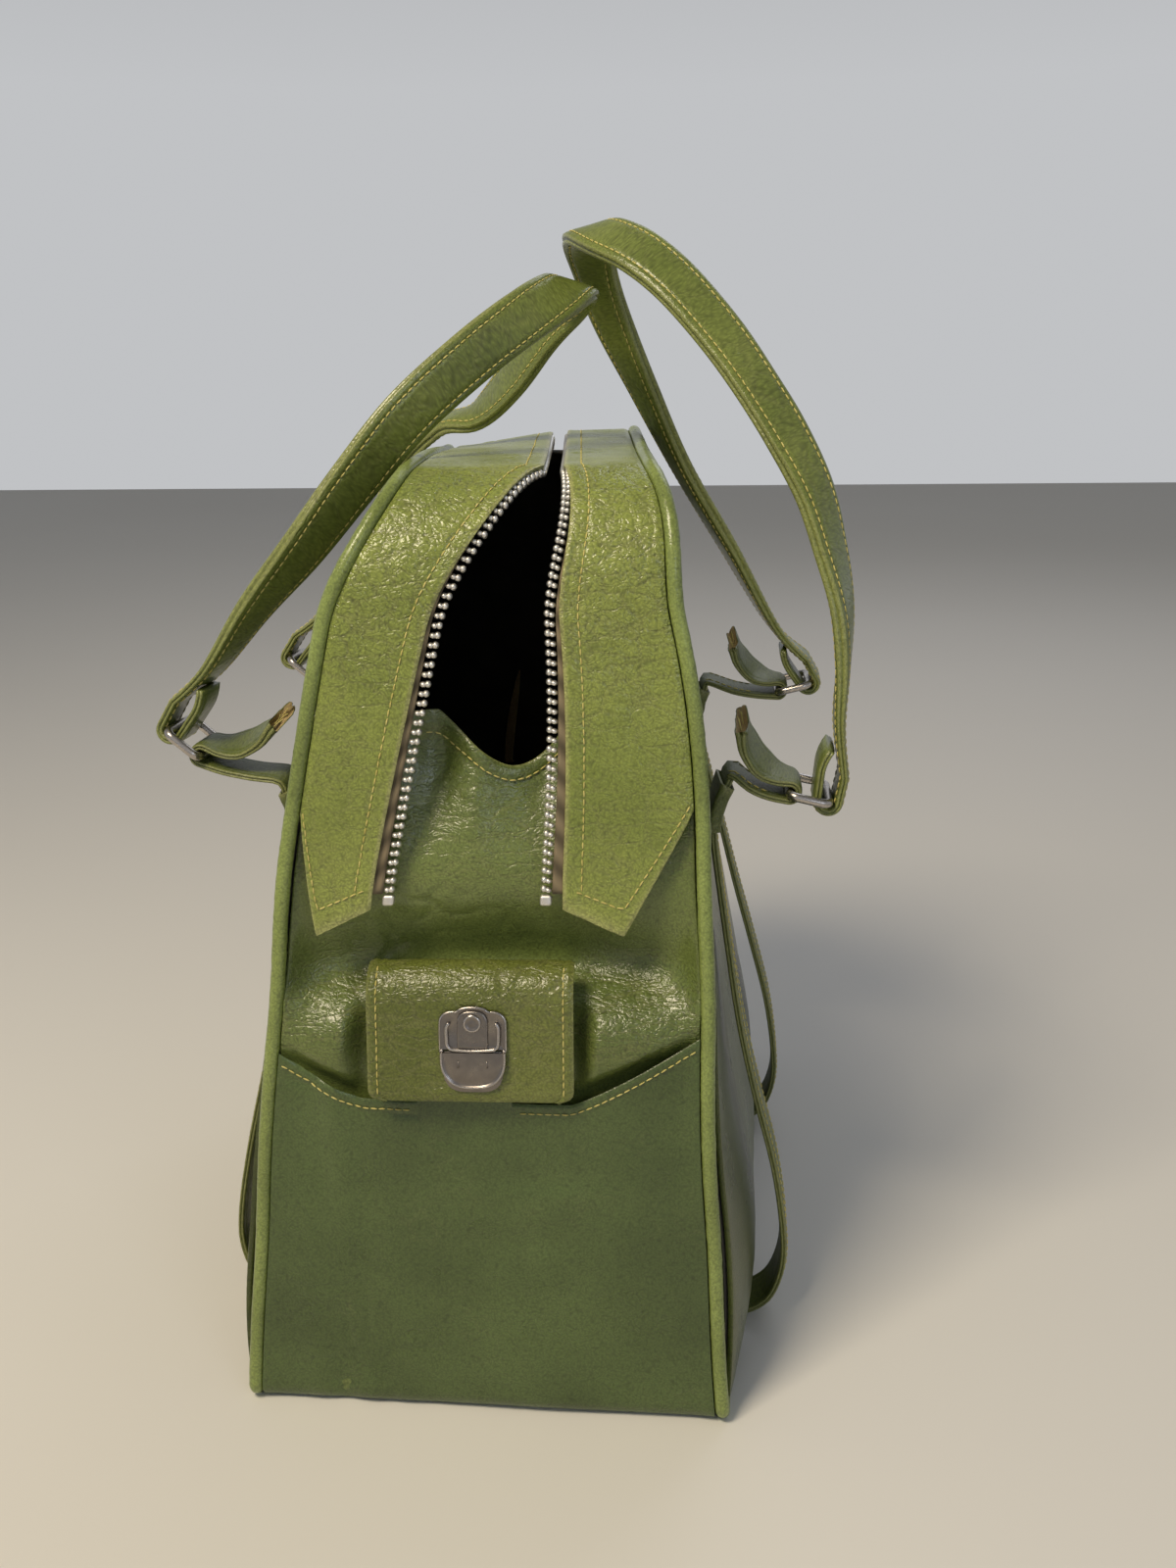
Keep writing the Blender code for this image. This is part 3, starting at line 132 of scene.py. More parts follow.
# matt white-painted board: broad, with no gloss that would mirror the bag
floor_paint, tree, shader = new_material("white_painted_board")
speckle = add_node(tree, "ShaderNodeTexNoise", [("Scale", 9.0), ("Detail", 3.0)])
tone = add_node(tree, "ShaderNodeMix", data_type="RGBA",
                links=[(SHARE, speckle), (FIRST, linear("DEDBD5")), (SECOND, linear("E4E2DD"))])
feed(shader, [("Base Color", tone.outputs[MIXED]), ("Roughness", 0.7)])
shape = bmesh.new()
bmesh.ops.create_grid(shape, x_segments=2, y_segments=2, size=4.0)
bmesh.ops.translate(shape, verts=shape.verts, vec=(0.0, 0.0, cad_low.z - 0.2 * MM))
floor = finished("floor", shape, floor_paint)

for name, place, aim, size, power, colour in (
        ("key_lamp", (-0.50, -0.85, 1.50), (0.0, 0.0, 0.2), 0.50, 20.5, "FFEFD2"),
        ("window_lamp", (0.75, -1.2, 0.75), (0.0, 0.0, 0.2), 0.40, 1.6, "E4EEFF"),
        ("back_lamp", (0.5, 1.3, 1.6), (0.0, 0.0, 0.3), 1.0, 5.0, "F4F6FF")):
    lamp = bpy.data.lights.new(name, "AREA")
    lamp.size = size
    lamp.energy = power
    lamp.color = linear(colour)[:3]
    thing = bpy.data.objects.new(name, lamp)
    thing.location = place
    thing.rotation_euler = (Vector(aim) - Vector(place)).to_track_quat("-Z", "Y").to_euler()
    bpy.context.scene.collection.objects.link(thing)

# the surround is bright where it is looked at or mirrored, and weak as a light; darker overhead
world = bpy.data.worlds.new("pale_surround")
bpy.context.scene.world = world
world.use_nodes = True
tree = world.node_tree
path = add_node(tree, "ShaderNodeLightPath").outputs
seen = path["Is Camera Ray"]
for ray in ("Is Glossy Ray", "Is Transmission Ray"):
    seen = add_node(tree, "ShaderNodeMath", [(0, seen), (1, path[ray])], operation="MAXIMUM")
heading = add_node(tree, "ShaderNodeTexCoord").outputs["Generated"]
height = add_node(tree, "ShaderNodeSeparateXYZ", [("Vector", heading)]).outputs["Z"]
overhead = add_node(tree, "ShaderNodeMapRange", [("Value", height), ("From Min", 0.15), ("From Max", 0.65),
                                                 ("To Min", 0.38), ("To Max", 0.02)])
level = add_node(tree, "ShaderNodeMath", [(0, seen), (1, overhead), (2, 0.22)], operation="MULTIPLY_ADD")
feed(tree.nodes["Background"], [("Color", linear("F2F4F7")), ("Strength", level)])

# ---- side panels ----
# Each big side is one piece of PVC leathercloth, a cotton cloth coated with embossed vinyl, that
# sags out near the floor. It is sewn to the gusset all round, with the piping caught in the seam.
LENGTH = 0.342
WIDTH = 0.206
HEIGHT = 0.388
END_LEAN = 0.088
SHOULDER_RADIUS = 0.048
BASE_RADIUS = 0.008
PIPING_RADIUS = 0.003
PROUD = 0.0015
GAP = 0.0003
SIDE_WALL = 0.0022
LEAN = math.atan(END_LEAN)
HEART = Vector((0.0, 0.0, 0.2))
NEAR, FAR, LEFT, RIGHT = -1, 1, -1, 1
SIDE_NAMES = {LEFT: "left", RIGHT: "right"}
END_NAMES = {NEAR: "near", FAR: "far"}


def smooth_step(start, end, value):
    share = min(1.0, max(0.0, (value - start) / (end - start)))
    return share * share * (3.0 - 2.0 * share)


def fade(start, end, value):
    return 1.0 - smooth_step(start, end, value)


def off_edges(share, width):
    """0 at both edges of a piece, rising to 1 a width in from them."""
    return smooth_step(0.0, width, min(share, 1.0 - share))


def ripple(x, y, z):
    return noise.noise(Vector((x, y, z)))


def pick(line, share):
    """The entry at a share of the way along a list."""
    return line[round(share * (len(line) - 1))]


def spaced(start, end, count):
    return [start + (end - start) * index / count for index in range(count + 1)]


def slump(x, y, z):
    """Where a point of the straight bag lies once its soft top has twisted, leaned and sunk."""
    turned = math.radians(5.7) * smooth_step(0.100, 0.330, z)
    lean = 0.011 * smooth_step(0.330, HEIGHT, z)
    lean += 0.0015 * (smooth_step(0.02, 0.09, z) - 2.0 * smooth_step(0.17, 0.24, z))
    top = smooth_step(0.330, HEIGHT, z) * smooth_step(-0.2 * WIDTH, 0.55 * WIDTH, y)
    sunk = 0.003 - 0.009 * smooth_step(-0.1 * WIDTH, 0.3 * WIDTH, -x)
    return Vector((x * math.cos(turned) - y * math.sin(turned) + lean,
                   x * math.sin(turned) + y * math.cos(turned), z + top * sunk))


def half_width(z):
    """Half the bag's width outside the piping, at a height."""
    share = min(1.0, max(0.0, (z - 0.215) / (HEIGHT + 0.003 - 0.215)))
    return WIDTH / 2.0 - 0.075 * z - 0.031 * (1.0 - math.sqrt(1.0 - share * share))


# lengths along the end's side view: base, corner, leaning end, shoulder, top
TOP_FLAT = LENGTH / 2.0 - END_LEAN * HEIGHT - SHOULDER_RADIUS * math.tan((math.pi / 2.0 - LEAN) / 2.0)
BASE_CUT = BASE_RADIUS * math.tan((math.pi / 2.0 + LEAN) / 2.0)
BASE_FLAT = LENGTH / 2.0 - BASE_CUT
CORNER_END = BASE_FLAT + BASE_RADIUS * (math.pi / 2.0 + LEAN)
SHOULDER_START = (CORNER_END + HEIGHT / math.cos(LEAN) - BASE_CUT
                  - SHOULDER_RADIUS * math.tan((math.pi / 2.0 - LEAN) / 2.0))
SHOULDER_END = SHOULDER_START + SHOULDER_RADIUS * (math.pi / 2.0 - LEAN)
MIDDLE_TOP = SHOULDER_END + TOP_FLAT
FOOT_Y = BASE_FLAT + BASE_RADIUS * math.cos(LEAN)
FOOT_Z = BASE_RADIUS * (1.0 + math.sin(LEAN))


def end_path(run):
    """(y, z) and outward (y, z) at a run from the middle of the base, round one end to the top."""
    if run <= BASE_FLAT:
        return run, 0.0, 0.0, -1.0
    if run <= CORNER_END:
        angle = (run - BASE_FLAT) / BASE_RADIUS - math.pi / 2.0
        return (BASE_FLAT + BASE_RADIUS * math.cos(angle), BASE_RADIUS * (1.0 + math.sin(angle)),
                math.cos(angle), math.sin(angle))
    if run <= SHOULDER_START:
        rise = run - CORNER_END
        return FOOT_Y - rise * math.sin(LEAN), FOOT_Z + rise * math.cos(LEAN), math.cos(LEAN), math.sin(LEAN)
    if run <= SHOULDER_END:
        angle = LEAN + (run - SHOULDER_START) / SHOULDER_RADIUS
        return (TOP_FLAT + SHOULDER_RADIUS * math.cos(angle),
                HEIGHT - SHOULDER_RADIUS + SHOULDER_RADIUS * math.sin(angle),
                math.cos(angle), math.sin(angle))
    return TOP_FLAT - (run - SHOULDER_END), HEIGHT, 0.0, 1.0


def run_at(z):
    return CORNER_END + (z - FOOT_Z) / math.cos(LEAN)


def height_at(run, inset=0.0):
    _, z, _, out_z = end_path(run)
    return z - out_z * inset


def on_end(end, run, inset, x):
    """A point on the near or far end, let in from the outline."""
    y, z, out_y, out_z = end_path(run)
    return slump(x, end * (y - out_y * inset), z - out_z * inset)


def inner_half(run):
    """Half-width of the gusset between the two pipings."""
    return half_width(height_at(run, PIPING_RADIUS)) - 2.0 * PIPING_RADIUS - GAP


def side_slope(z):
    return (half_width(z + 0.5 * MM) - half_width(z - 0.5 * MM)) / MM


def side_face(y, z):
    """Outer face of a side panel before the slump, with its sag near the floor."""
    rise = z / 0.045
    sag = 0.016 * rise * math.exp(1.0 - rise) * (1.0 - min(1.0, abs(y) / (LENGTH / 2.0)) ** 6)
    return half_width(z) - PROUD + sag


def soften_edges(thing, width, segments, angle):
    """Round over a piece's edges sharper than an angle."""
    soft = thing.modifiers.new("soft_edge", "BEVEL")
    soft.width = width
    soft.segments = segments
    soft.limit_method = "ANGLE"
    soft.angle_limit = math.radians(angle)
    return soft


def skin(name, columns, rows, place, wall=0.0, size=(1.0, 1.0), swell=None, join="", edge=0.0,
         wear_and_sheen=None, inside=HEART):
    """A sheet: a grid whose every point is put in place by its two shares, faced away from an inside
    point, then swelled along its own normal. A wall makes it closed cloth. Joined at its seam it is
    a sleeve instead, and at its ends too a solid. Its given function sets how folded it is and how pale its
    edges go, partly from rubbing and partly as a painted highlight."""
    shape = bmesh.new()
    shape.loops.layers.uv.new("UVMap")
    # this layer holds how folded the cloth is, and how pale its edges go from rubbing and from a painted
    # highlight
    worn = shape.verts.layers.float_color.new("wear_and_sheen")
    bmesh.ops.create_grid(shape, x_segments=columns, y_segments=rows, size=0.5, calc_uvs=True)
    shares = [tuple(min(1.0, max(0.0, part + 0.5)) for part in vert.co.xy) for vert in shape.verts]
    uv = shape.loops.layers.uv.active
    for face in shape.faces:
        for corner in face.loops:
            corner[uv].uv = (corner[uv].uv.x * size[0], corner[uv].uv.y * size[1])
    for vert, share in zip(shape.verts, shares):
        vert.co = place(*share)
    if not join:
        shape.normal_update()
        shape.faces.ensure_lookup_table()
        middle = shape.faces[len(shape.faces) // 2 + columns // 2]
        if middle.normal.dot(middle.calc_center_median() - inside) < 0.0:
            bmesh.ops.reverse_faces(shape, faces=shape.faces)
    for vert, share in zip(shape.verts, shares):
        vert[worn] = (wear_and_sheen(*share, vert.co) if wear_and_sheen else (0.0, 0.0)) + (0.0, 1.0)
    if swell is not None:
        shape.normal_update()
        lifts = [vert.normal * swell(*share, vert.co) for vert, share in zip(shape.verts, shares)]
        for vert, lift in zip(shape.verts, lifts):
            vert.co += lift
    if join:
        bmesh.ops.remove_doubles(shape, verts=shape.verts, dist=0.002 * MM)
        if join == "ends":
            bmesh.ops.holes_fill(shape, edges=[rim for rim in shape.edges if rim.is_boundary], sides=0)
        bmesh.ops.recalc_face_normals(shape, faces=shape.faces)
    thing = finished(name, shape)
    if wall:
        solid = thing.modifiers.new("wall", "SOLIDIFY")
        solid.thickness = wall
        solid.offset = -1.0
    if edge:
        soften_edges(thing, edge, 2, 60.0)
    return thing


def dress(thing, paint, node=None, body="bag"):
    """Give a piece its material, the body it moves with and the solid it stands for."""
    if paint:
        thing.data.materials.append(paint)
    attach(thing, body)
    if node:
        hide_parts(node)


# the vector noise that warps the creases draws on this seed, so every run gives the same creases
noise.seed_set(1)


def creases(point, size, depth, seed):
    """A net of shallow creases, as folded leathercloth keeps: depth at their lines, 0 between."""
    at = point / size + Vector((seed, seed * 0.7, 0.0))
    warp = noise.noise_vector(at * 0.6) * 0.7
    net = 1.0 - abs(noise.noise(at + warp)) * 3.2
    spread = smooth_step(-0.15, 0.35, noise.noise(point / (size * 4.0) + Vector((0.0, seed, 5.0))))
    return -depth * spread * max(0.0, net) ** 2


def leathercloth(name, base, light, flow, depth, on_uv=False, dull=0.0):
    """PVC leathercloth: a soft vinyl coat embossed with a leather grain and sealed semi-gloss, on
    cotton. Folding opens the grain into cells and long creases, darkened by painted shade; edges and crease
    rims go pale, partly from rubbing and partly as a painted highlight."""
    made, tree, shader = new_material(name)
    where = add_node(tree, "ShaderNodeTexCoord").outputs["UV" if on_uv else "Object"]
    wear_and_sheen = add_node(tree, "ShaderNodeAttribute", attribute_name="wear_and_sheen").outputs["Color"]
    wear_and_sheen = add_node(tree, "ShaderNodeSeparateColor", [("Color", wear_and_sheen)]).outputs
    bend = add_node(tree, "ShaderNodeTexNoise",
                    [("Vector", where), ("Scale", 1.0 / (7.0 * MM)), ("Detail", 2.0)])
    bent = add_node(tree, "ShaderNodeVectorMath", operation="MULTIPLY_ADD",
                    links=[(0, bend.outputs["Color"]), (1, (5.0 * MM,) * 3), (2, where)])
    drawn = add_node(tree, "ShaderNodeMapping", [("Vector", bent), ("Scale", flow)])
    # grain: flat cells 2 mm across with grooves between, and a 0.9 mm pebble on them
    cells = add_node(tree, "ShaderNodeTexVoronoi", [("Vector", drawn), ("Scale", 1.0 / (2.0 * MM))],
                     feature="DISTANCE_TO_EDGE")
    groove = add_node(tree, "ShaderNodeMapRange", interpolation_type="SMOOTHSTEP",
                      links=[("Value", cells), ("From Max", 0.30), ("To Min", -1.0), ("To Max", 0.0)])
    pebble = add_node(tree, "ShaderNodeTexVoronoi", feature="SMOOTH_F1",
                      links=[("Vector", bent), ("Scale", 1.0 / (0.9 * MM)), ("Smoothness", 0.7)])
    # creases: long soft lines 9 mm apart, drawn out along the way the cloth has folded, in patches
    pulled = add_node(tree, "ShaderNodeVectorMath", [(0, drawn), (1, flow)], operation="MULTIPLY")
    lines = add_node(tree, "ShaderNodeTexVoronoi", [("Vector", pulled), ("Scale", 1.0 / (9.0 * MM))],
                     feature="DISTANCE_TO_EDGE")
    crease = add_node(tree, "ShaderNodeMapRange", interpolation_type="SMOOTHSTEP",
                      links=[("Value", lines), ("From Max", 0.14), ("To Min", -1.0), ("To Max", 0.0)])
    patch = add_node(tree, "ShaderNodeTexNoise",
                     [("Vector", where), ("Scale", 1.0 / (26.0 * MM)), ("Detail", 2.0)])
    folded = add_node(tree, "ShaderNodeMath", [(0, wear_and_sheen["Green"]), (1, patch)], operation="ADD")
    opened = add_node(tree, "ShaderNodeMapRange", interpolation_type="SMOOTHSTEP",
                      links=[("Value", folded), ("From Min", 0.40), ("From Max", 1.40),
                             ("To Min", 0.02 * depth), ("To Max", 0.11 * depth)])
    broken = add_node(tree, "ShaderNodeMapRange", interpolation_type="SMOOTHSTEP",
                      links=[("Value", folded), ("From Min", 0.45), ("From Max", 1.10),
                             ("To Min", 0.0), ("To Max", 0.12 * depth)])
    height = add_node(tree, "ShaderNodeMath", [(0, groove), (1, opened)], operation="MULTIPLY")
    for pattern, strength in ((crease, broken), (pebble, -0.085)):
        height = add_node(tree, "ShaderNodeMath", [(0, pattern), (1, strength), (2, height)],
                          operation="MULTIPLY_ADD")
    raised = add_node(tree, "ShaderNodeBump", [("Height", height), ("Strength", 1.0), ("Distance", MM)])
    # colour: broad faded areas; painted shade darkening the grooves, creases and pebble hollows; and a pale
    # band beside the creases and on the edges, partly rubbing and partly a painted highlight on their rims
    faded = add_node(tree, "ShaderNodeTexNoise",
                     [("Vector", where), ("Scale", 1.0 / (55.0 * MM)), ("Detail", 3.0)])
    amount = add_node(tree, "ShaderNodeMapRange", [("Value", faded), ("From Min", 0.34), ("From Max", 0.66)])
    tone = add_node(tree, "ShaderNodeMix", data_type="RGBA",
                    links=[(SHARE, amount), (FIRST, linear(base)), (SECOND, linear(light))])
    # pale beside the creases and on the edges: partly rubbing, partly a painted highlight on the raised rims
    beside = add_node(tree, "ShaderNodeMapRange", interpolation_type="SMOOTHSTEP",
                      links=[("Value", lines), ("From Min", 0.02), ("From Max", 0.09),
                             ("To Min", 1.0), ("To Max", 0.0)])
    rub_and_highlight = add_node(tree, "ShaderNodeMath", [(0, beside), (1, broken), (2, wear_and_sheen["Red"])],
                      operation="MULTIPLY_ADD", use_clamp=True)
    pale = add_node(tree, "ShaderNodeMix", data_type="RGBA",
                    links=[(SHARE, rub_and_highlight), (FIRST, tone.outputs[MIXED]), (SECOND, linear("B4B47A"))])
    # painted shade: the colour itself is darkened in the grooves, creases and pebble hollows
    dark = 1.0
    for pattern, strength in ((crease, broken), (groove, opened), (pebble, -0.75)):
        dark = add_node(tree, "ShaderNodeMath", [(0, pattern), (1, strength), (2, dark)],
                        operation="MULTIPLY_ADD")
    dark = add_node(tree, "ShaderNodeMath", [(0, dark), (1, 0.27)], operation="ADD")
    shaded = add_node(tree, "ShaderNodeMix", data_type="RGBA", blend_type="MULTIPLY",
                      links=[(SHARE, 1.0), (FIRST, pale.outputs[MIXED]), (SECOND, dark)])
    gloss = add_node(tree, "ShaderNodeMapRange",
                     [("Value", patch), ("To Min", 0.22 + dull), ("To Max", 0.36 + dull)])
    feed(shader, [("Base Color", shaded.outputs[MIXED]), ("Roughness", gloss), ("Normal", raised),
                  ("IOR", 1.53)])
    return made


# painted shade: the side panels' copy of this one leathercloth is given a darker colour than the other parts'
# copies, for the shade on the bag's sides
panel_cloth = leathercloth("pvc_leathercloth_panels", "444E24", "525C2C", (1.0, 1.0, 1.0), 0.7)


def side_rim():
    """(y, z) up one end of a side panel beside the piping, from foot to top."""
    reach = 2.0 * PIPING_RADIUS + GAP
    line = LENGTH / 2.0 - reach / math.cos(LEAN)
    foot = reach + 0.004
    rim = [(line - END_LEAN * foot - 0.004, reach), (line - END_LEAN * foot, foot)]
    for run in spaced(CORNER_END, SHOULDER_START, 46)[1:] + spaced(SHOULDER_START, SHOULDER_END, 16)[1:]:
        y, z, out_y, out_z = end_path(run)
        slope = side_slope(min(z, HEIGHT - 0.004)) * out_z
        reach = PIPING_RADIUS + (PIPING_RADIUS + GAP) / math.sqrt(1.0 + slope * slope)
        if z - out_z * reach > foot + 0.004:
            rim.append((y - out_y * reach, z - out_z * reach))
    return rim


rim = side_rim()


def side_place(side):
    """Where the two shares of a side panel, and of its lining, lie on that side of the bag."""
    def place(u, v):
        edge, z = pick(rim, v)
        y = edge * (2.0 * u - 1.0)
        return slump(side * side_face(y, z), y, z)

    return place


for side, word in SIDE_NAMES.items():
    def swell_side(u, v, point):
        billow = 0.0012 * ripple(point.y * 14.0, point.z * 16.0, side * 3.0) - 0.0008
        return off_edges(u, 0.06) * off_edges(v, 0.06) * (billow + creases(point, 0.016, 0.0006, side * 2.0))

    panel = skin("side_panel_" + word, 100, len(rim) - 1, side_place(side), SIDE_WALL, (LENGTH, HEIGHT),
                 swell_side, edge=0.0005)
    dress(panel, panel_cloth, "side_panel_" + word)

# ---- lining ----
# Black woven cloth hung inside the leathercloth and caught in the same seams. It hangs a little
# slack, so it shows soft upright folds through the open mouth.
LINING_WALL = 0.0008
LINING_IN = 0.0088


def woven_lining(name):
    """Black cotton sheeting in plain weave, dull, with a little lint. Its weave is drawn as bands
    3 mm apart, much coarser than the real threads, so that it shows."""
    made, tree, shader = new_material(name)
    where = add_node(tree, "ShaderNodeTexCoord").outputs["Object"]
    warp, weft = [add_node(tree, "ShaderNodeTexWave", bands_direction=way, links=[
        ("Vector", where), ("Scale", 1.0 / (10.0 * MM)), ("Distortion", 0.4)]).outputs["Fac"]
        for way in ("Y", "Z")]
    weave = add_node(tree, "ShaderNodeMath", [(0, warp), (1, weft)], operation="MULTIPLY")
    raised = add_node(tree, "ShaderNodeBump", [("Height", weave), ("Strength", 0.4), ("Distance", 0.2 * MM)])
    dust = add_node(tree, "ShaderNodeTexNoise", [("Vector", where), ("Scale", 60.0), ("Detail", 4.0)])
    tone = add_node(tree, "ShaderNodeMix", data_type="RGBA",
                    links=[(SHARE, dust), (FIRST, linear("34322E")), (SECOND, linear("524F48"))])
    feed(shader, [("Base Color", tone.outputs[MIXED]), ("Roughness", 0.88), ("Sheen Weight", 0.15),
                  ("Normal", raised)])
    return made


lining_cloth = woven_lining("black_cotton_lining")
for side, word in SIDE_NAMES.items():
    def swell_lining(u, v, point):
        slack = 0.5 + 0.5 * ripple(point.y * 55.0, point.z * 9.0, side * 7.0)
        return -(SIDE_WALL + GAP + 0.0048 * (off_edges(u, 0.10) * off_edges(v, 0.10)) * slack + 0.0008)

    lining = skin("lining_" + word, 120, len(rim) - 1, side_place(side), LINING_WALL, (LENGTH, HEIGHT),
                  swell_lining)
    dress(lining, lining_cloth, "lining_" + word)

far_lining_runs = spaced(CORNER_END + 0.012, SHOULDER_START, 30)
far_lining_runs += spaced(SHOULDER_START, SHOULDER_END, 16)[1:]
far_lining_runs += spaced(SHOULDER_END, SHOULDER_END + 0.012, 2)[1:]


def place_far_lining(u, v):
    run = pick(far_lining_runs, v)
    level = height_at(run, LINING_IN)
    layers = (SIDE_WALL + GAP + LINING_WALL) * math.hypot(1.0, side_slope(level))
    half = half_width(level) - PROUD - layers - 0.003
    return on_end(FAR, run, LINING_IN, half * (2.0 * u - 1.0))


def swell_far_lining(u, v, point):
    return -0.0040 * (0.5 + 0.5 * ripple(point.x * 75.0, point.z * 7.0, 2.0))


lining = skin("lining_far", 60, len(far_lining_runs) - 1, place_far_lining, LINING_WALL, (0.16, 0.4),
              swell_far_lining)
dress(lining, lining_cloth, "lining_far")


def fibrous(name, dark, light, fibre, strength, nap, roughness):
    """Raw cloth or pulp: dull, mottled at the size of its fibres, with the same mottle as its nap."""
    made, tree, shader = new_material(name)
    where = add_node(tree, "ShaderNodeTexCoord").outputs["Object"]
    fuzz = add_node(tree, "ShaderNodeTexNoise", [("Vector", where), ("Scale", 1.0 / fibre), ("Detail", 4.0)])
    tone = add_node(tree, "ShaderNodeMix", data_type="RGBA",
                    links=[(SHARE, fuzz), (FIRST, linear(dark)), (SECOND, linear(light))])
    raised = add_node(tree, "ShaderNodeBump", [("Height", fuzz), ("Strength", strength), ("Distance", nap)])
    feed(shader, [("Base Color", tone.outputs[MIXED]), ("Roughness", roughness), ("Normal", raised)])
    return made


# painted light: a bright tan strip of fuzzy cloth set inside the mouth near the far end, standing in for
# light that shows there
painted_light_cloth = fibrous("painted_light_tan_fuzz", "C4A46C", "E6CD9C", 0.8 * MM, 0.6, 0.4 * MM, 0.9)


def place_painted_light(u, v):
    width = 0.0046 * math.sin(math.pi * min(1.0, 0.25 + v * 0.75)) ** 0.7 + 0.0006
    across = -0.0290 + 0.0085 * v ** 1.4 + width * (u - 0.5)
    return Vector((across, 0.1352 - 0.003 * (v - 0.4), 0.198 + 0.056 * v))


painted_light_piece = skin("painted_light_tan_strip", 4, 28, place_painted_light, 0.0008, (0.003, 0.056), inside=Vector((0.0, 0.3, 0.22)))
dress(painted_light_piece, painted_light_cloth, None)

# ---- piping ----
# A welt of leathercloth rolled round a 4.5 mm cord, caught in the seam all round each side panel.
# It is pulled round the corners, so the coat has puckered across it.
# painted highlight: the piping's copy of the leathercloth is given a much lighter colour, for the light along
# its crest
piping_cloth = leathercloth("pvc_leathercloth_piping", "788647", "90A058", (0.35, 1.5, 1.0), 0.9, True)


def tube(name, points, radius, around, closed=True, pucker=0.0):
    """Cloth or wire rolled round a line of points."""
    count = len(points)
    frames = []
    side_way = None
    for index in range(count):
        ahead = points[(index + 1) % count] if closed else points[min(count - 1, index + 1)]
        behind = points[index - 1] if closed or index else points[0]
        along = (ahead - behind).normalized()
        if side_way is None:
            side_way = along.orthogonal().normalized()
        side_way = (side_way - along * side_way.dot(along)).normalized()
        frames.append((side_way, along.cross(side_way)))
    steps = count if closed else count - 1

    def place(u, v):
        index = round(v * steps) % count
        first, second = frames[index]
        angle = 2.0 * math.pi * u
        return points[index] + (first * math.cos(angle) + second * math.sin(angle)) * radius

    def pucker_at(u, v, point):
        return pucker * noise.noise(point * 480.0) + pucker * 0.7 * noise.noise(point * 190.0)

    length = sum((points[(index + 1) % count] - points[index]).length for index in range(steps))
    return skin(name, around, steps, place, size=(2.0 * math.pi * radius, length), join="ends",
                swell=pucker_at if pucker else None)


def evenly(points, pitch, closed=False):
    """Points at an even pitch along a line of points."""
    line = list(points) + ([points[0]] if closed else [])
    total = sum((b - a).length for a, b in zip(line, line[1:]))
    count = max(2, round(total / pitch))
    step = total / count
    made, walked, need = [line[0].copy()], 0.0, step
    for a, b in zip(line, line[1:]):
        span = (b - a).length
        while span > 0.0 and walked + span >= need - 1e-9 and len(made) <= count:
            made.append(a.lerp(b, min(1.0, (need - walked) / span)))
            need += step
        walked += span
    return made[:count] if closed else made[:count + 1]


piping_runs = (spaced(0.0, BASE_FLAT, 40)[:-1] + spaced(BASE_FLAT, CORNER_END, 12)[:-1]
               + spaced(CORNER_END, SHOULDER_START, 100)[:-1] + spaced(SHOULDER_START, SHOULDER_END, 36)[:-1]
               + spaced(SHOULDER_END, MIDDLE_TOP, 40))
piping_round = [(FAR, run) for run in piping_runs] + [(NEAR, run) for run in piping_runs[-2:0:-1]]
for side, word in SIDE_NAMES.items():
    loop = []
    for end, run in piping_round:
        half = half_width(height_at(run, PIPING_RADIUS)) - PIPING_RADIUS
        loop.append(on_end(end, run, PIPING_RADIUS, side * half))
    piping = tube("piping_" + word, evenly(loop, 1.4 * MM, True), PIPING_RADIUS, 14, True, 0.16 * MM)
    dress(piping, piping_cloth, "piping_" + word)

# ---- gusset ----
# One long strip of the same leathercloth makes both ends and the base. The near end is pushed in
# under the open zip, and its hemmed top hangs into the mouth; a fibreboard stiffens the base.
GUSSET_WALL = 0.0018
POCKET_WALL = 0.0016
POCKET_MIDDLE = -0.0080
POCKET_FLAT = 0.043
POCKET_MOUTH = 0.1405
POCKET_TAB_TOP = 0.170
TONGUE_LOW = 0.2740
TONGUE_TOP = 0.276
TONGUE_HEM = 0.0065
gusset_cloth = leathercloth("pvc_leathercloth_gusset", "5F6D37", "738144", (0.65, 1.0, 1.5), 1.2)


def pocket_swell(x, z, half):
    return max(0.0, 1.0 - (x / half) ** 4) * smooth_step(0.006, 0.060, z)


def pocket_mouth(x):
    reach = max(0.0, (abs(x - POCKET_MIDDLE) - POCKET_FLAT) / (WIDTH * 0.4 - POCKET_FLAT))
    return POCKET_MOUTH + 0.020 * reach ** 1.2


def pocket_top(x):
    tab = fade(0.0170, 0.0190, abs(x - POCKET_MIDDLE))
    return pocket_mouth(x) + (POCKET_TAB_TOP - pocket_mouth(x)) * tab


def tongue_top(x):
    """The tongue's hemmed edge: straight up to the left, a rounded U up to the right."""
    aside = x - 0.0055
    if aside < 0.0:
        return TONGUE_LOW + min(0.0225, 0.90 * (math.hypot(aside, 0.008) - 0.008))
    return TONGUE_LOW + min(0.0215, 40.0 * aside * aside)


def corner_inset(run):
    return PROUD * smooth_step(BASE_FLAT, CORNER_END, run)


def hump(value, middle, width):
    return math.exp(-((value - middle) / width) ** 2)


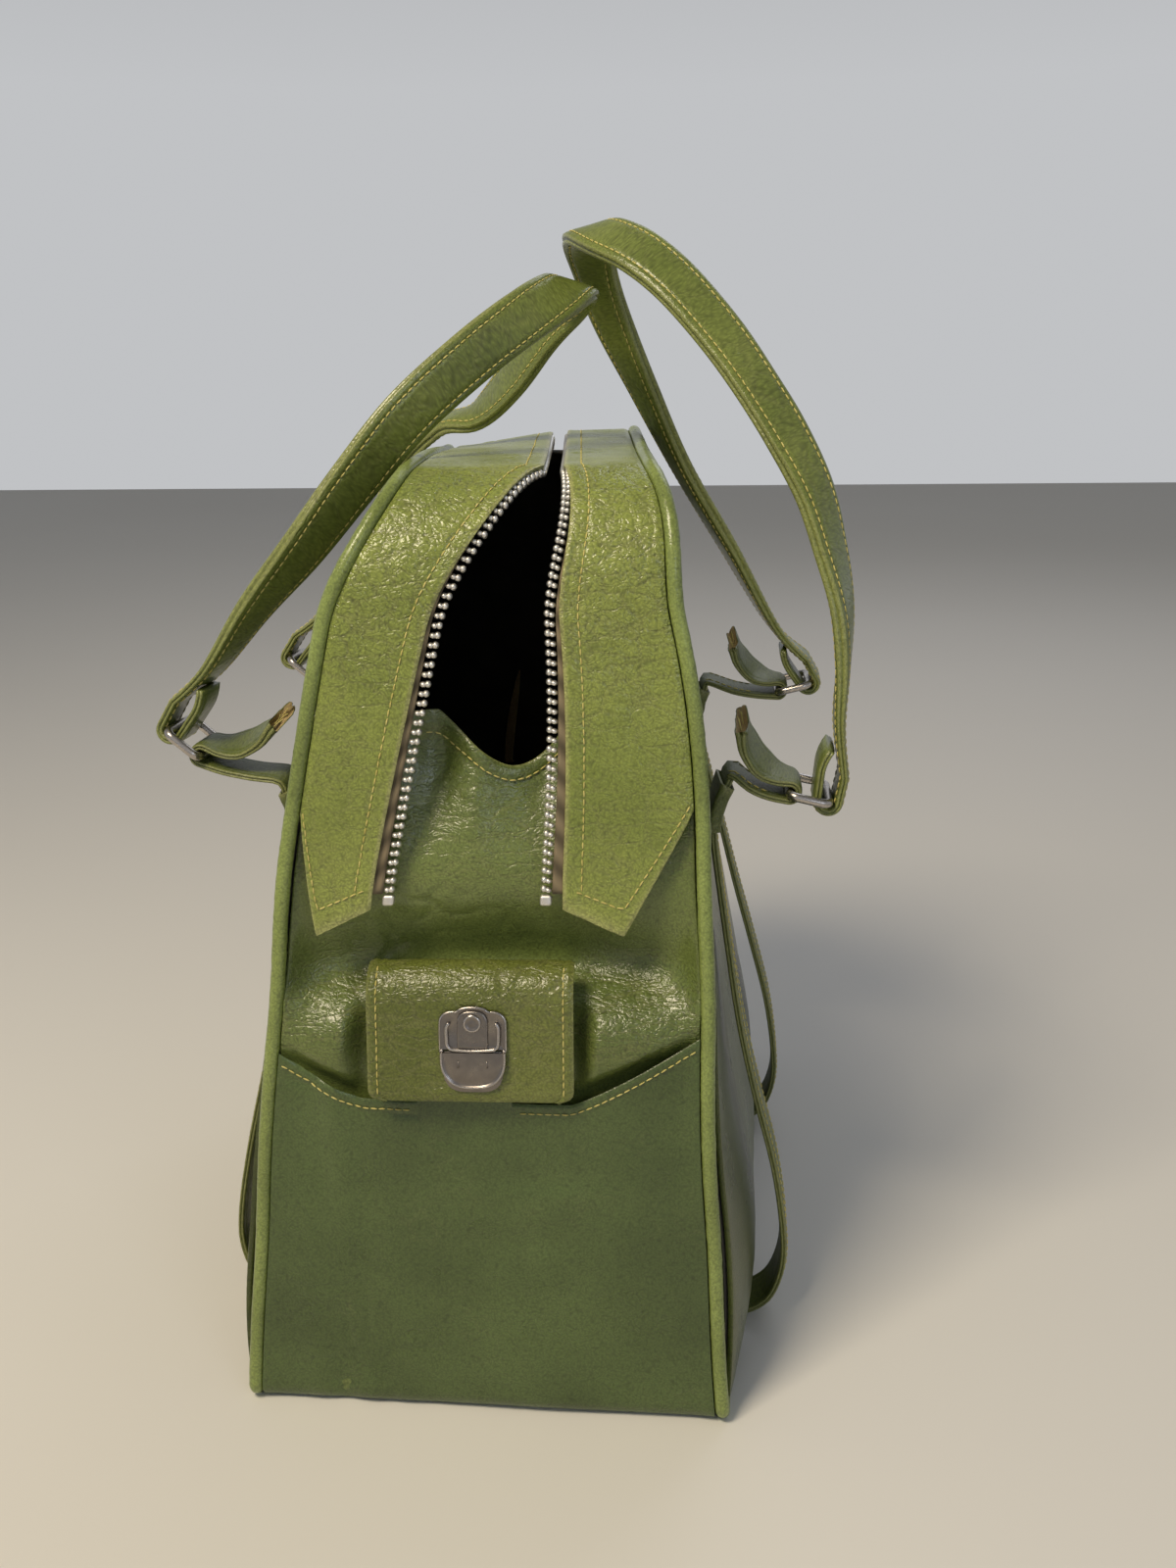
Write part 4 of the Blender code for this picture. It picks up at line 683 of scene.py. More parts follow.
def near_inset(x, z, half, run):
    """How far the near end lies inside the outline: behind the pocket, deep in the fold that the
    flap is sewn into, down into the mouth at its top, and out again where it bulges beside the flap."""
    beside_flap = smooth_step(0.041, 0.052, abs(x - POCKET_MIDDLE))
    mouth = pocket_mouth(x)
    level = fade(0.173, 0.1905, z)
    level += (fade(mouth - 0.001, mouth + 0.009, z) - level) * beside_flap
    under_pocket = ((POCKET_WALL + GAP) + 0.0056 * pocket_swell(x, z, half)) * level
    under_band = (0.0062 - PROUD) * smooth_step(0.178, 0.198, z)
    reach = x / (WIDTH * 0.4)
    off = z - (0.1930 - 0.003 * reach * reach)
    side_hold = max(0.0, 1.0 - (x / half) ** 6)
    fold = 0.0165 * hump(off, 0.0, 0.0235 if off > 0.0 else 0.0090 + 0.004 * beside_flap) * side_hold
    rise = smooth_step(0.222, 0.280, z)
    tongue = 0.016 * smooth_step(0.225, 0.294, z) * max(0.0, 1.0 - (x / half) ** 2)
    hollow = 0.0050 * hump(x, 0.018, 0.013) - 0.0040 * hump(x, -0.009, 0.0075)
    hollow += 0.0035 * hump(x, -0.026, 0.008)
    bulge = -0.0045 * hump(z, 0.1665, 0.0130) * (1.0 - level) * beside_flap * max(0.0, 1.0 - (x / half) ** 4)
    return corner_inset(run) + under_pocket + under_band + fold + tongue + rise * hollow + bulge


near_low = BASE_FLAT + 1.0 * MM
near_fold = run_at(0.145)
near_last = run_at(TONGUE_TOP)
near_runs = (spaced(near_low, CORNER_END, 8) + spaced(CORNER_END, near_fold, 44)[1:]
             + spaced(near_fold, near_last, 96)[1:])
tongue_start = run_at(0.232)


def near_point(run, share):
    stretch = max(0.0, (run - tongue_start) / (near_last - tongue_start))
    here = run + (tongue_top(inner_half(run) * share) - TONGUE_TOP) * stretch
    half = inner_half(here)
    return on_end(NEAR, here, near_inset(half * share, height_at(here), half, here), half * share)


def place_near(u, v):
    return near_point(pick(near_runs, v), 2.0 * u - 1.0)


def swell_near(u, v, point):
    clear = off_edges(u, 0.05) * off_edges(v, 0.04)
    shown = smooth_step(0.13, 0.16, point.z)
    billow = 0.0012 * ripple(point.x * 26.0, point.z * 20.0, 1.0) - 0.0006
    below = near_last - pick(near_runs, v)
    hem = 0.0006 * fade(TONGUE_HEM - 0.0006, TONGUE_HEM + 0.0006, below)
    hem -= 0.0009 * fade(0.0, 0.0022, below) + 0.0004 * hump(below, TONGUE_HEM, 0.0008)
    return clear * (billow * shown + creases(point, 0.012, 0.0007 * shown, 9.0)) + hem


# painted highlight: the tongue's rolled lip is made pale
def wear_and_sheen_near(u, v, point):
    run = pick(near_runs, v)
    beside_flap = smooth_step(0.036, 0.046, abs(inner_half(run) * (2.0 * u - 1.0) - POCKET_MIDDLE))
    return (0.35 * fade(0.0, 0.0015, near_last - run),
            0.75 * hump(point.z, 0.175, 0.018) * beside_flap + 0.35 * smooth_step(0.215, 0.235, point.z))


near_panel = skin("near_end_panel", 110, len(near_runs) - 1, place_near, GUSSET_WALL, (0.18, 0.28),
                  swell_near, edge=0.0005, wear_and_sheen=wear_and_sheen_near)
dress(near_panel, gusset_cloth, "near_end_panel")

# cotton sewing thread, yellowed with age: dull, with a slanting twist 3 mm long
thread_paint, tree, shader = new_material("yellowed_cotton_thread")
where = add_node(tree, "ShaderNodeTexCoord").outputs["Object"]
age = add_node(tree, "ShaderNodeTexNoise", [("Vector", where), ("Scale", 1.0 / (9.0 * MM)), ("Detail", 2.0)])
tone = add_node(tree, "ShaderNodeMix", data_type="RGBA",
                links=[(SHARE, age), (FIRST, linear("AFA349")), (SECOND, linear("E2D690"))])
twist = add_node(tree, "ShaderNodeTexWave", [("Vector", where), ("Scale", 1.0 / (8.0 * MM))],
                 bands_direction="DIAGONAL").outputs["Fac"]
ply = add_node(tree, "ShaderNodeBump", [("Height", twist), ("Strength", 0.3), ("Distance", 0.1 * MM)])
feed(shader, [("Base Color", tone.outputs[MIXED]), ("Roughness", 0.7), ("Normal", ply)])

shape = bmesh.new()
bmesh.ops.create_uvsphere(shape, u_segments=6, v_segments=5, radius=1.0,
                          matrix=Matrix.Rotation(math.pi / 2.0, 4, "Y"))
one_stitch = bpy.data.meshes.new("one_stitch")
shape.to_mesh(one_stitch)
shape.free()


def add_copy(row, piece, place):
    """Add a copy of a small mesh to a row, put in place by a matrix."""
    copy = piece.copy()
    copy.transform(place)
    row.from_mesh(copy)
    bpy.data.meshes.remove(copy)


def upright(first, second, third):
    """The turn whose axes are three given directions."""
    return Matrix((first, second, third)).transposed().to_4x4()


def square_to(way, along):
    """A direction made square to another."""
    return (way - along * way.dot(along)).normalized()


def sew(name, cloth, route, body="bag"):
    """A row of lockstitches along a route, each pressed into the cloth nearest to it."""
    pitch, length, thread, sink = 3.4 * MM, 2.8 * MM, 0.34 * MM, 0.12 * MM
    ground = BVHTree.FromObject(cloth, bpy.context.evaluated_depsgraph_get())
    row = bmesh.new()
    points = evenly(route, pitch)
    for start, end in zip(points, points[1:]):
        middle = start.lerp(end, 0.5)
        spot, normal, _, _ = ground.find_nearest(middle)
        along = square_to(end - start, normal)
        turn = upright(along, normal.cross(along), normal)
        tilt = Matrix.Rotation(0.16 * noise.noise(middle * 900.0), 4, "Z")
        size = Matrix.Diagonal((length / 2.0, thread, thread, 1.0))
        add_copy(row, one_stitch, Matrix.Translation(spot + normal * (thread - sink)) @ turn @ tilt @ size)
    seam = finished(name, row, thread_paint)
    if body:
        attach(seam, body)
    return seam


hem = [near_point(near_last - TONGUE_HEM, share) for share in spaced(-0.42, 0.52, 60)]
sew("tongue_hem_stitches", near_panel, hem)

FAR_CHAIN_END = 0.222
FAR_NOTCH = 0.2195
FAR_TOP = 0.264
BAND_WALL = 0.0016
TAPE_WALL = 0.0008
far_step = FAR_NOTCH - 0.0175
far_step_start = far_step - 0.012
far_runs = (spaced(near_low, CORNER_END, 8) + spaced(CORNER_END, run_at(far_step_start), 60)[1:]
            + spaced(run_at(far_step_start), run_at(FAR_TOP), 56)[1:])


def place_far(u, v):
    """The far end steps in under the bands, and its top is cut down where the zip ends."""
    run = pick(far_runs, v)
    share = 2.0 * u - 1.0
    notch = smooth_step(-0.085, -0.065, share) * fade(0.305, 0.325, share)
    start = run_at(far_step)
    if run > start:
        run = start + (run - start) * (1.0 - notch * (FAR_TOP - FAR_NOTCH) / (FAR_TOP - far_step))
    step = smooth_step(far_step_start, far_step, height_at(run))
    deep = corner_inset(run) + (BAND_WALL + TAPE_WALL + 3.0 * GAP) * step
    return on_end(FAR, run, deep, inner_half(run) * share)


def swell_far(u, v, point):
    clear = off_edges(u, 0.05) * smooth_step(0.0, 0.04, v) * fade(0.60, 0.72, v)
    billow = 0.0018 * ripple(point.x * 20.0, point.z * 15.0, 4.0) - 0.0010
    return clear * (billow + creases(point, 0.014, 0.0006, 4.0))


far_panel = skin("far_end_panel", 110, len(far_runs) - 1, place_far, GUSSET_WALL, (0.18, 0.26),
                 swell_far, edge=0.0004)
dress(far_panel, gusset_cloth, "far_end_panel")

base_half = half_width(PIPING_RADIUS) - 2.0 * PIPING_RADIUS - GAP


def place_base(u, v):
    return Vector((base_half * (2.0 * u - 1.0), BASE_FLAT * (2.0 * v - 1.0), 0.0))


base_panel = skin("base_panel", 40, 70, place_base, GUSSET_WALL, (2.0 * base_half, 2.0 * BASE_FLAT),
                  edge=0.0004)
dress(base_panel, gusset_cloth, "base_panel")

# fibreboard: pressed brown pulp with a fine felted mottle and a dull face
board_paint = fibrous("pressed_fibreboard", "4A3A2A", "7A6248", 2.0 * MM, 0.3, 0.3 * MM, 0.85)
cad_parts["base_board"].data.materials[0] = board_paint

# ---- zip bands ----
# Two wide facings of the leathercloth lie over the gusset beside the zip and run from end to end.
# Their inner edge is turned under and stitched through 7 mm in, with a pale yellow thread.
SLOT_OFFSET = 0.00975
SLOT_WIDTH = 0.0075
FLARE = {LEFT: 0.054, RIGHT: 0.0142}
FAR_FLARE = 0.00625
TIP_SHARE = {LEFT: 0.65, RIGHT: 0.46}
TIP_LOW, TIP_INNER, TIP_OUTER = 0.209, 0.220, 0.259
STITCH_IN = 0.0072
# painted light: the bands' copy of the leathercloth is given a lighter colour, for the light on the bag's top
band_cloth = leathercloth("pvc_leathercloth_bands", "808D41", "96A150", (0.8, 1.0, 1.2), 1.3)


def flare(end, side, run):
    """How far the mouth draws each band's inner edge aside: widely at the near end, little at the far."""
    z = height_at(run)
    if end == FAR:
        return FAR_FLARE * fade(HEIGHT - 0.058, HEIGHT - 0.008, z)
    share = min(1.0, max(0.0, (z - 0.216) / (HEIGHT - 0.216)))
    return FLARE[side] * math.sqrt(1.0 - share ** 1.2)


def band_edge(end, side, run):
    return SLOT_OFFSET + side * (SLOT_WIDTH / 2.0 + flare(end, side, run))


def band_end(tip, share):
    """Height of a band's pointed end, across from its inner edge."""
    if share < tip:
        return TIP_INNER + (TIP_LOW - TIP_INNER) * share / tip
    return TIP_LOW + (TIP_OUTER - TIP_LOW) * (share - tip) / (1.0 - tip)


def over_top(near_start, far_start, pitch):
    """(end, run) stations from a run on the near end, over the top, to a run on the far end."""
    near = spaced(near_start, MIDDLE_TOP, round((MIDDLE_TOP - near_start) / pitch))
    far = spaced(MIDDLE_TOP, far_start, round((MIDDLE_TOP - far_start) / pitch))
    return [(NEAR, run) for run in near] + [(FAR, run) for run in far[1:]]


band_start = run_at(TIP_OUTER)
band_blend = run_at(0.294)
band_stations = over_top(band_start, band_start, 1.6 * MM)


def band_width(end, side, run):
    return abs(side * inner_half(run) - band_edge(end, side, run))


def band_point(side, share, end, run):
    ease = min(1.0, max(0.0, (band_blend - run) / (band_blend - band_start)))
    here = run - (band_start - run_at(band_end(TIP_SHARE[side], share))) * ease
    inner = band_edge(end, side, here)
    return on_end(end, here, PROUD, inner + (side * inner_half(here) - inner) * share)


for side, word in SIDE_NAMES.items():
    def place_band(u, v):
        return band_point(side, u, *pick(band_stations, v))

    def swell_band(u, v, point):
        end, run = pick(band_stations, v)
        width = band_width(end, side, run)
        across = u * width
        edge_roll = -0.0006 * fade(0.0, 0.0016, across)
        groove = -0.00035 * hump(across, STITCH_IN, 0.0009)
        seam = -0.0007 * fade(0.0, 0.0025, width - across)
        pucker = 0.00018 * noise.noise(point * 330.0) * hump(across, STITCH_IN, 0.004)
        calm = smooth_step(0.0, 0.004, across) * smooth_step(0.0, 0.004, width - across)
        billow = 0.0007 * ripple(point.x * 30.0, point.y * 30.0, point.z * 24.0 + side)
        soft = billow + creases(point, 0.009, 0.00045, side * 5.0)
        return edge_roll + groove + seam + pucker + calm * soft

    # pale inner edge and foot: partly rubbing, partly a painted highlight on the turned edge
    def wear_and_sheen_band(u, v, point):
        end, run = pick(band_stations, v)
        shoulder = smooth_step(SHOULDER_START - 0.05, SHOULDER_START + 0.01, run)
        shoulder *= fade(SHOULDER_END - 0.02, SHOULDER_END, run)
        edge = fade(0.0008, 0.0022, u * band_width(end, side, run))
        foot = fade(0.0008, 0.0020, run - band_start)
        return (0.60 * max(edge, foot), 0.30 + 0.60 * shoulder)

    band = skin("zip_band_" + word, 56, len(band_stations) - 1, place_band, BAND_WALL, (0.05, 0.56),
                swell_band, edge=0.0005, wear_and_sheen=wear_and_sheen_band)
    dress(band, band_cloth, "zip_band_" + word)
    route = []
    for end, run in band_stations[3:-3]:
        route.append(band_point(side, STITCH_IN / band_width(end, side, run), end, run))
    sew("zip_band_stitches_" + word, band, route)
    for end, end_word in END_NAMES.items():
        route = [band_point(side, share, end, band_start + 0.0045) for share in spaced(0.10, 0.97, 40)]
        sew("zip_band_end_stitches_" + word + "_" + end_word, band, route)

# ---- zip ----
# A metal zip: cast white-metal teeth clenched on the beaded edge of a woven cotton tape. The tape
# is sewn under the bands; the slider is parked at the far end, so the teeth stand open.
CHAIN_WIDTH = 0.0042
CHAIN_THICKNESS = 0.0034
CHAIN_FOOT = 0.226
CHAIN_DEEP = PROUD + BAND_WALL + GAP + (TAPE_WALL - CHAIN_THICKNESS) / 2.0
TAPE_WIDTH = 0.014
TOOTH_PITCH = 0.0037


def reveal(end, side, run):
    """How far the teeth stand out past the band's inner edge."""
    if end == FAR:
        return (FAR_FLARE - 0.001) * flare(end, side, run) / FAR_FLARE - 0.001
    return 0.0075 * flare(end, side, run) / FLARE[side] - 0.001


def chain_top(end, side, run):
    """How deep the teeth's outer face lies: deeper where the band covers them."""
    if reveal(end, side, run) > CHAIN_WIDTH:
        return CHAIN_DEEP
    share = 1.0 - max(0.0, reveal(end, side, run)) / CHAIN_WIDTH
    return CHAIN_DEEP + (CHAIN_THICKNESS - TAPE_WALL) / 2.0 * min(1.0, share * 2.0)


# woven cotton tape, brown-grey with age, in slanting ribs 9 mm apart, coarser than real to show
tape_paint, tree, shader = new_material("woven_cotton_tape")
uv = add_node(tree, "ShaderNodeUVMap", uv_map="UVMap").outputs["UV"]
ribs = add_node(tree, "ShaderNodeTexWave", bands_direction="DIAGONAL",
                links=[("Vector", uv), ("Scale", 1.0 / (20.0 * MM)), ("Distortion", 1.0)]).outputs["Fac"]
tone = add_node(tree, "ShaderNodeMix", data_type="RGBA",
                links=[(SHARE, ribs), (FIRST, linear("544B3A")), (SECOND, linear("857860"))])
ribbed = add_node(tree, "ShaderNodeBump", [("Height", ribs), ("Strength", 0.5), ("Distance", 0.3 * MM)])
feed(shader, [("Base Color", tone.outputs[MIXED]), ("Roughness", 0.85), ("Normal", ribbed)])


def worn_metal(name, base, dull, rough_low, rough_high, grit):
    """A plated metal face, worn by rubbing hands: bright on the whole, duller and rougher in patches."""
    made, tree, shader = new_material(name)
    where = add_node(tree, "ShaderNodeTexCoord").outputs["Object"]
    patch = add_node(tree, "ShaderNodeTexNoise", [("Vector", where), ("Scale", 1.0 / grit), ("Detail", 4.0)])
    tone = add_node(tree, "ShaderNodeMix", data_type="RGBA",
                    links=[(SHARE, patch), (FIRST, linear(base)), (SECOND, linear(dull))])
    rough = add_node(tree, "ShaderNodeMapRange", [("Value", patch), ("From Min", 0.3), ("From Max", 0.7),
                                                  ("To Min", rough_low), ("To Max", rough_high)])
    pit = add_node(tree, "ShaderNodeTexNoise",
                   [("Vector", where), ("Scale", 1.0 / (0.5 * MM)), ("Detail", 2.0)])
    worn = add_node(tree, "ShaderNodeBump", [("Height", pit), ("Strength", 0.08), ("Distance", 0.2 * MM)])
    feed(shader, [("Base Color", tone.outputs[MIXED]), ("Roughness", rough), ("Normal", worn),
                  ("Metallic", 1.0)])
    return made


tooth_metal = worn_metal("cast_white_metal", "EEECE8", "CFCBC4", 0.38, 0.52, 3.0 * MM)
plate_metal = worn_metal("nickel_plated_steel", "C9C3BE", "98918C", 0.20, 0.36, 4.0 * MM)

# one tooth: a bar clenched on the tape, with a broader head toward the opening
shape = bmesh.new()
for across, ahead, half_a, half_b in ((-0.0009, 0.0001, 0.00135, 0.00145),
                                      (0.0009, -0.0001, 0.00145, 0.00115)):
    lobe = Matrix.Diagonal((half_a, half_b, CHAIN_THICKNESS / 2.0, 1.0))
    lobe = Matrix.Translation((across, ahead, 0.0)) @ lobe
    bmesh.ops.create_uvsphere(shape, u_segments=10, v_segments=6, radius=1.0, matrix=lobe)
one_tooth = bpy.data.meshes.new("one_tooth")
shape.to_mesh(one_tooth)
shape.free()


def tooth_spot(end, side, run, deep):
    return on_end(end, run, deep, band_edge(end, side, run) - side * reveal(end, side, run))


tape_stations = over_top(run_at(CHAIN_FOOT), run_at(FAR_CHAIN_END), 1.8 * MM)
for side, word in SIDE_NAMES.items():
    def place_tape(u, v):
        end, run = pick(tape_stations, v)
        free = band_edge(end, side, run) - side * (reveal(end, side, run) - CHAIN_WIDTH / 2.0 - GAP)
        return on_end(end, run, PROUD + BAND_WALL + GAP, free + side * TAPE_WIDTH * u)

    tape = skin("zip_tape_" + word, 10, len(tape_stations) - 1, place_tape, TAPE_WALL, (TAPE_WIDTH, 0.6))
    dress(tape, tape_paint, "zip_tape_" + word)

    # the two rows stand half a pitch apart, so that they would mesh
    row = bmesh.new()
    last_tooth = run_at(FAR_CHAIN_END) + TOOTH_PITCH * (1.0 if side == LEFT else 0.5)
    for end, run in over_top(run_at(CHAIN_FOOT) + TOOTH_PITCH / 2.0, last_tooth, TOOTH_PITCH):
        middle = band_edge(end, side, run) - side * reveal(end, side, run)
        deep = chain_top(end, side, run) + CHAIN_THICKNESS / 2.0
        here = on_end(end, run, deep, middle)
        way = (on_end(end, run, deep, middle + 0.004) - on_end(end, run, deep, middle - 0.004)).normalized()
        along = tooth_spot(end, side, run + 0.002, deep) - tooth_spot(end, side, run - 0.002, deep)
        along.normalize()
        way = square_to(way, along) * side
        out = way.cross(along).normalized()
        if out.dot(here - HEART) < 0.0:
            out = -out
        tilt = Matrix.Rotation(-0.16 * side, 4, out)
        add_copy(row, one_tooth, Matrix.Translation(here) @ tilt @ upright(way, along, out))
    teeth = finished("zip_teeth_" + word, row)
    dress(teeth, tooth_metal, "zip_chain_" + word)


def softened(node, body, paint, width):
    """A stamped or cast piece: its solid with the sharp edges rounded over."""
    shape = bmesh.new()
    shape.from_mesh(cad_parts[node].data)
    bmesh.ops.remove_doubles(shape, verts=shape.verts, dist=0.002 * MM)
    bmesh.ops.dissolve_limit(shape, angle_limit=math.radians(1.0), verts=shape.verts, edges=shape.edges)
    thing = finished(node + "_finished", shape)
    soften_edges(thing, width, 3, 35.0).harden_normals = True
    dress(thing, paint, node, body)


for node, body, width in (("zip_stop_left", "bag", 0.0012), ("zip_stop_right", "bag", 0.0012),
                          ("zip_slider", "slider", 0.0003), ("zip_bail", "slider", 0.0002),
                          ("zip_pull", "pull", 0.0003)):
    softened(node, body, tooth_metal, width)

# ---- end pocket ----
# A flat pocket of the leathercloth lies over the lower half of the near end, sewn in at its sides
# and foot. Its mouth is hemmed, with one row of stitches under the fold, and a tab stands behind
# the flap to carry the lock's catch.
POCKET_LEVEL = 0.1285
POCKET_HEM = 0.0040
POCKET_TOP_RUN = 0.012
# painted shade: the pocket's copy of the leathercloth is given a darker colour, for the shade low on the near
# end
pocket_cloth = leathercloth("pvc_leathercloth_pocket", "48582D", "586A39", (0.8, 1.0, 1.3), 1.2)
pocket_low = run_at(POCKET_LEVEL)
pocket_runs = (spaced(near_low, CORNER_END, 8) + spaced(CORNER_END, pocket_low, 84)[1:]
               + spaced(pocket_low, pocket_low + POCKET_TOP_RUN, 28)[1:])


def pocket_point(x_share, run):
    rise = max(0.0, run - pocket_low) / POCKET_TOP_RUN
    here = min(run, pocket_low) + (run_at(pocket_top(x_share * inner_half(pocket_low))) - pocket_low) * rise
    half = inner_half(here)
    x = half * x_share
    return on_end(NEAR, here, corner_inset(here) - 0.0022 * pocket_swell(x, height_at(here), half), x)


def place_pocket(u, v):
    return pocket_point(2.0 * u - 1.0, pick(pocket_runs, v))


def swell_pocket(u, v, point):
    below = pocket_top((2.0 * u - 1.0) * inner_half(pocket_low)) - point.z
    clear = off_edges(u, 0.05) * smooth_step(0.0, 0.05, v)
    fold = 0.00045 * fade(0.0045, 0.0058, below) - 0.0006 * fade(0.0, 0.0012, below)
    groove = -0.0003 * hump(below, POCKET_HEM, 0.0008)
    billow = 0.0016 * ripple(point.x * 17.0, point.z * 14.0, 3.0) - 0.0006
    upright_fold = 0.0021 * ripple(point.x * 75.0, point.z * 13.0, 8.0) * hump(point.x, -0.055, 0.024)
    level_fold = 0.0014 * ripple(point.x * 22.0, point.z * 85.0, 5.0)
    level_fold = level_fold * hump(point.x, 0.025, 0.035) * hump(point.z, 0.095, 0.03)
    return clear * (billow + upright_fold + level_fold + creases(point, 0.018, 0.0007, 3.0)) + fold + groove


pocket = skin("end_pocket", 150, len(pocket_runs) - 1, place_pocket, POCKET_WALL, (0.19, 0.15), swell_pocket,
              edge=0.0004)
dress(pocket, pocket_cloth, "end_pocket")
for word, shares in (("left", spaced(-0.985, -0.345, 60)), ("right", spaced(0.165, 0.985, 60))):
    hem = []
    for share in shares:
        top = pocket_top(share * inner_half(pocket_low))
        rise = (top - POCKET_HEM - POCKET_LEVEL) / (top - POCKET_LEVEL)
        hem.append(pocket_point(share, pocket_low + POCKET_TOP_RUN * rise))
    sew("pocket_hem_stitches_" + word, pocket, hem)

# ---- pocket flap ----
# The flap is two layers of leathercloth with turned edges, rolled over at its sewn top, with a row
# of stitches down each side. It hinges where it is sewn to the near end.
FLAP_WIDTH = 0.082
FLAP_ROLL = 0.0032
FLAP_WALL = 0.0026
FLAP_TOP = 0.1985
FLAP_FOOT = 0.1440
FLAP_LENGTH = (FLAP_TOP - FLAP_ROLL - FLAP_FOOT) / math.cos(LEAN)
FLAP_CORNER = 0.0045
FLAP_STITCH_IN = 0.0040
flap_cloth = leathercloth("pvc_leathercloth_flap", "5E6729", "717939", (0.8, 1.0, 1.3), 1.2)

hinge_run = run_at(FLAP_TOP - FLAP_ROLL)
hinge = on_end(NEAR, hinge_run, PROUD - GAP - FLAP_ROLL, POCKET_MIDDLE)
flap_foot = on_end(NEAR, run_at(FLAP_FOOT), PROUD - GAP - FLAP_ROLL - 0.004, POCKET_MIDDLE)
flap_across = (on_end(NEAR, hinge_run, PROUD - GAP - FLAP_ROLL, POCKET_MIDDLE + 0.02) - hinge).normalized()
flap_down = square_to(flap_foot - hinge, flap_across)
flap_out = flap_down.cross(flap_across)
if flap_out.y > 0.0:
    flap_out = -flap_out

# its section: flat under the lock, then rolled over a soft edge back to the seam in the fold
ROLL_START = 0.0118
ROLL_HIGH = ROLL_START + FLAP_ROLL
ROLL_DEEP = 0.0130
ROLL_OUT = FLAP_ROLL - ROLL_DEEP
flap_line = [(FLAP_LENGTH - down, FLAP_ROLL) for down in (0.0, 0.0010, 0.0024, 0.0038)]
flap_line += [(down, FLAP_ROLL) for down in spaced(FLAP_LENGTH - 0.0050, ROLL_START, 30)]
flap_line += [(ROLL_START - ROLL_HIGH * math.sin(angle), ROLL_OUT + ROLL_DEEP * math.cos(angle))
              for angle in spaced(0.0, 0.52 * math.pi, 30)[1:]]


def flap_point(across, down, out):
    return hinge + flap_across * across + flap_down * down + flap_out * out


def from_flap_side(u):
    return FLAP_WIDTH / 2.0 - abs(u - 0.5) * FLAP_WIDTH


def place_flap(u, v):
    down, out = pick(flap_line, v)
    left = FLAP_LENGTH - down
    half = FLAP_WIDTH / 2.0
    if left < FLAP_CORNER:
        half += math.sqrt(FLAP_CORNER * FLAP_CORNER - (FLAP_CORNER - left) ** 2) - FLAP_CORNER
    return flap_point(half * (2.0 * u - 1.0), down, out)


def swell_flap(u, v, point):
    left = FLAP_LENGTH - pick(flap_line, v)[0]
    from_side = from_flap_side(u)
    groove = -0.0004 * hump(from_side, FLAP_STITCH_IN, 0.0009)
    turned = -0.0009 * fade(0.0, 0.0022, from_side)
    turned -= 0.0007 * fade(0.0, 0.0022, left) * smooth_step(0.0, 0.004, from_side)
    calm = smooth_step(0.002, 0.008, from_side) * smooth_step(0.0, 0.004, left)
    billow = 0.0006 * ripple(point.x * 45.0, point.z * 40.0, 6.0)
    return groove + turned + calm * (billow + creases(point, 0.010, 0.0004, 6.0))


# pale flap sides: partly rubbing, partly a painted highlight on the turned edges
def wear_and_sheen_flap(u, v, point):
    down, _ = pick(flap_line, v)
    return 0.25 * fade(0.0, 0.0016, from_flap_side(u)), 0.30 + 0.45 * hump(down, 0.004, 0.014)


flap = skin("pocket_flap", 100, len(flap_line) - 1, place_flap, FLAP_WALL, (FLAP_WIDTH, 0.075), swell_flap,
            edge=0.0006, wear_and_sheen=wear_and_sheen_flap)
flap.data.materials.append(flap_cloth)
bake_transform(flap)
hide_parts("pocket_flap")
for side, word in SIDE_NAMES.items():
    across = side * (FLAP_WIDTH / 2.0 - FLAP_STITCH_IN)
    line = [flap_point(across, down, out) for down, out in flap_line[2:56]]
    seam = sew("flap_stitches_" + word, flap, line, None)
    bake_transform(seam)

# ---- tuck lock ----
# A pressed, nickel-plated lock riveted through the flap: a face plate with a scalloped crown, a
# framed tongue with its boss, and a domed thumb piece below that slides down to let go.
LATCH_HALF = 0.027 / 2.0
LATCH_HEIGHT = 0.036
LATCH_SPLIT = 0.165
LATCH_SIDEWAYS = 0.0015
THUMB_TRAVEL = 0.003
TONGUE_HALF = 0.0060
dull_metal = worn_metal("tarnished_nickel_plate", "8F8983", "6C6663", 0.24, 0.40, 5.0 * MM)
latch_down = (FLAP_TOP - FLAP_ROLL - LATCH_SPLIT) / math.cos(LEAN)
on_flap = upright(flap_across, flap_down, flap_out)
on_flap.translation = flap_point(LATCH_SIDEWAYS, latch_down, FLAP_ROLL)


def rounded(points, radii, steps=5):
    """An outline with each of its corners rounded."""
    made = []
    corners = [Vector(point) for point in points]
    for index, (here, radius) in enumerate(zip(corners, radii)):
        before, after = corners[index - 1], corners[(index + 1) % len(corners)]
        start = here + (before - here).normalized() * radius
        end = here + (after - here).normalized() * radius
        for t in spaced(0.0, 1.0, steps):
            made.append(start.lerp(here, t).lerp(here.lerp(end, t), t))
    return made


def new_face(drawn):
    """The face that an extrusion has made."""
    return next(part for part in drawn["geom"] if isinstance(part, bmesh.types.BMFace))


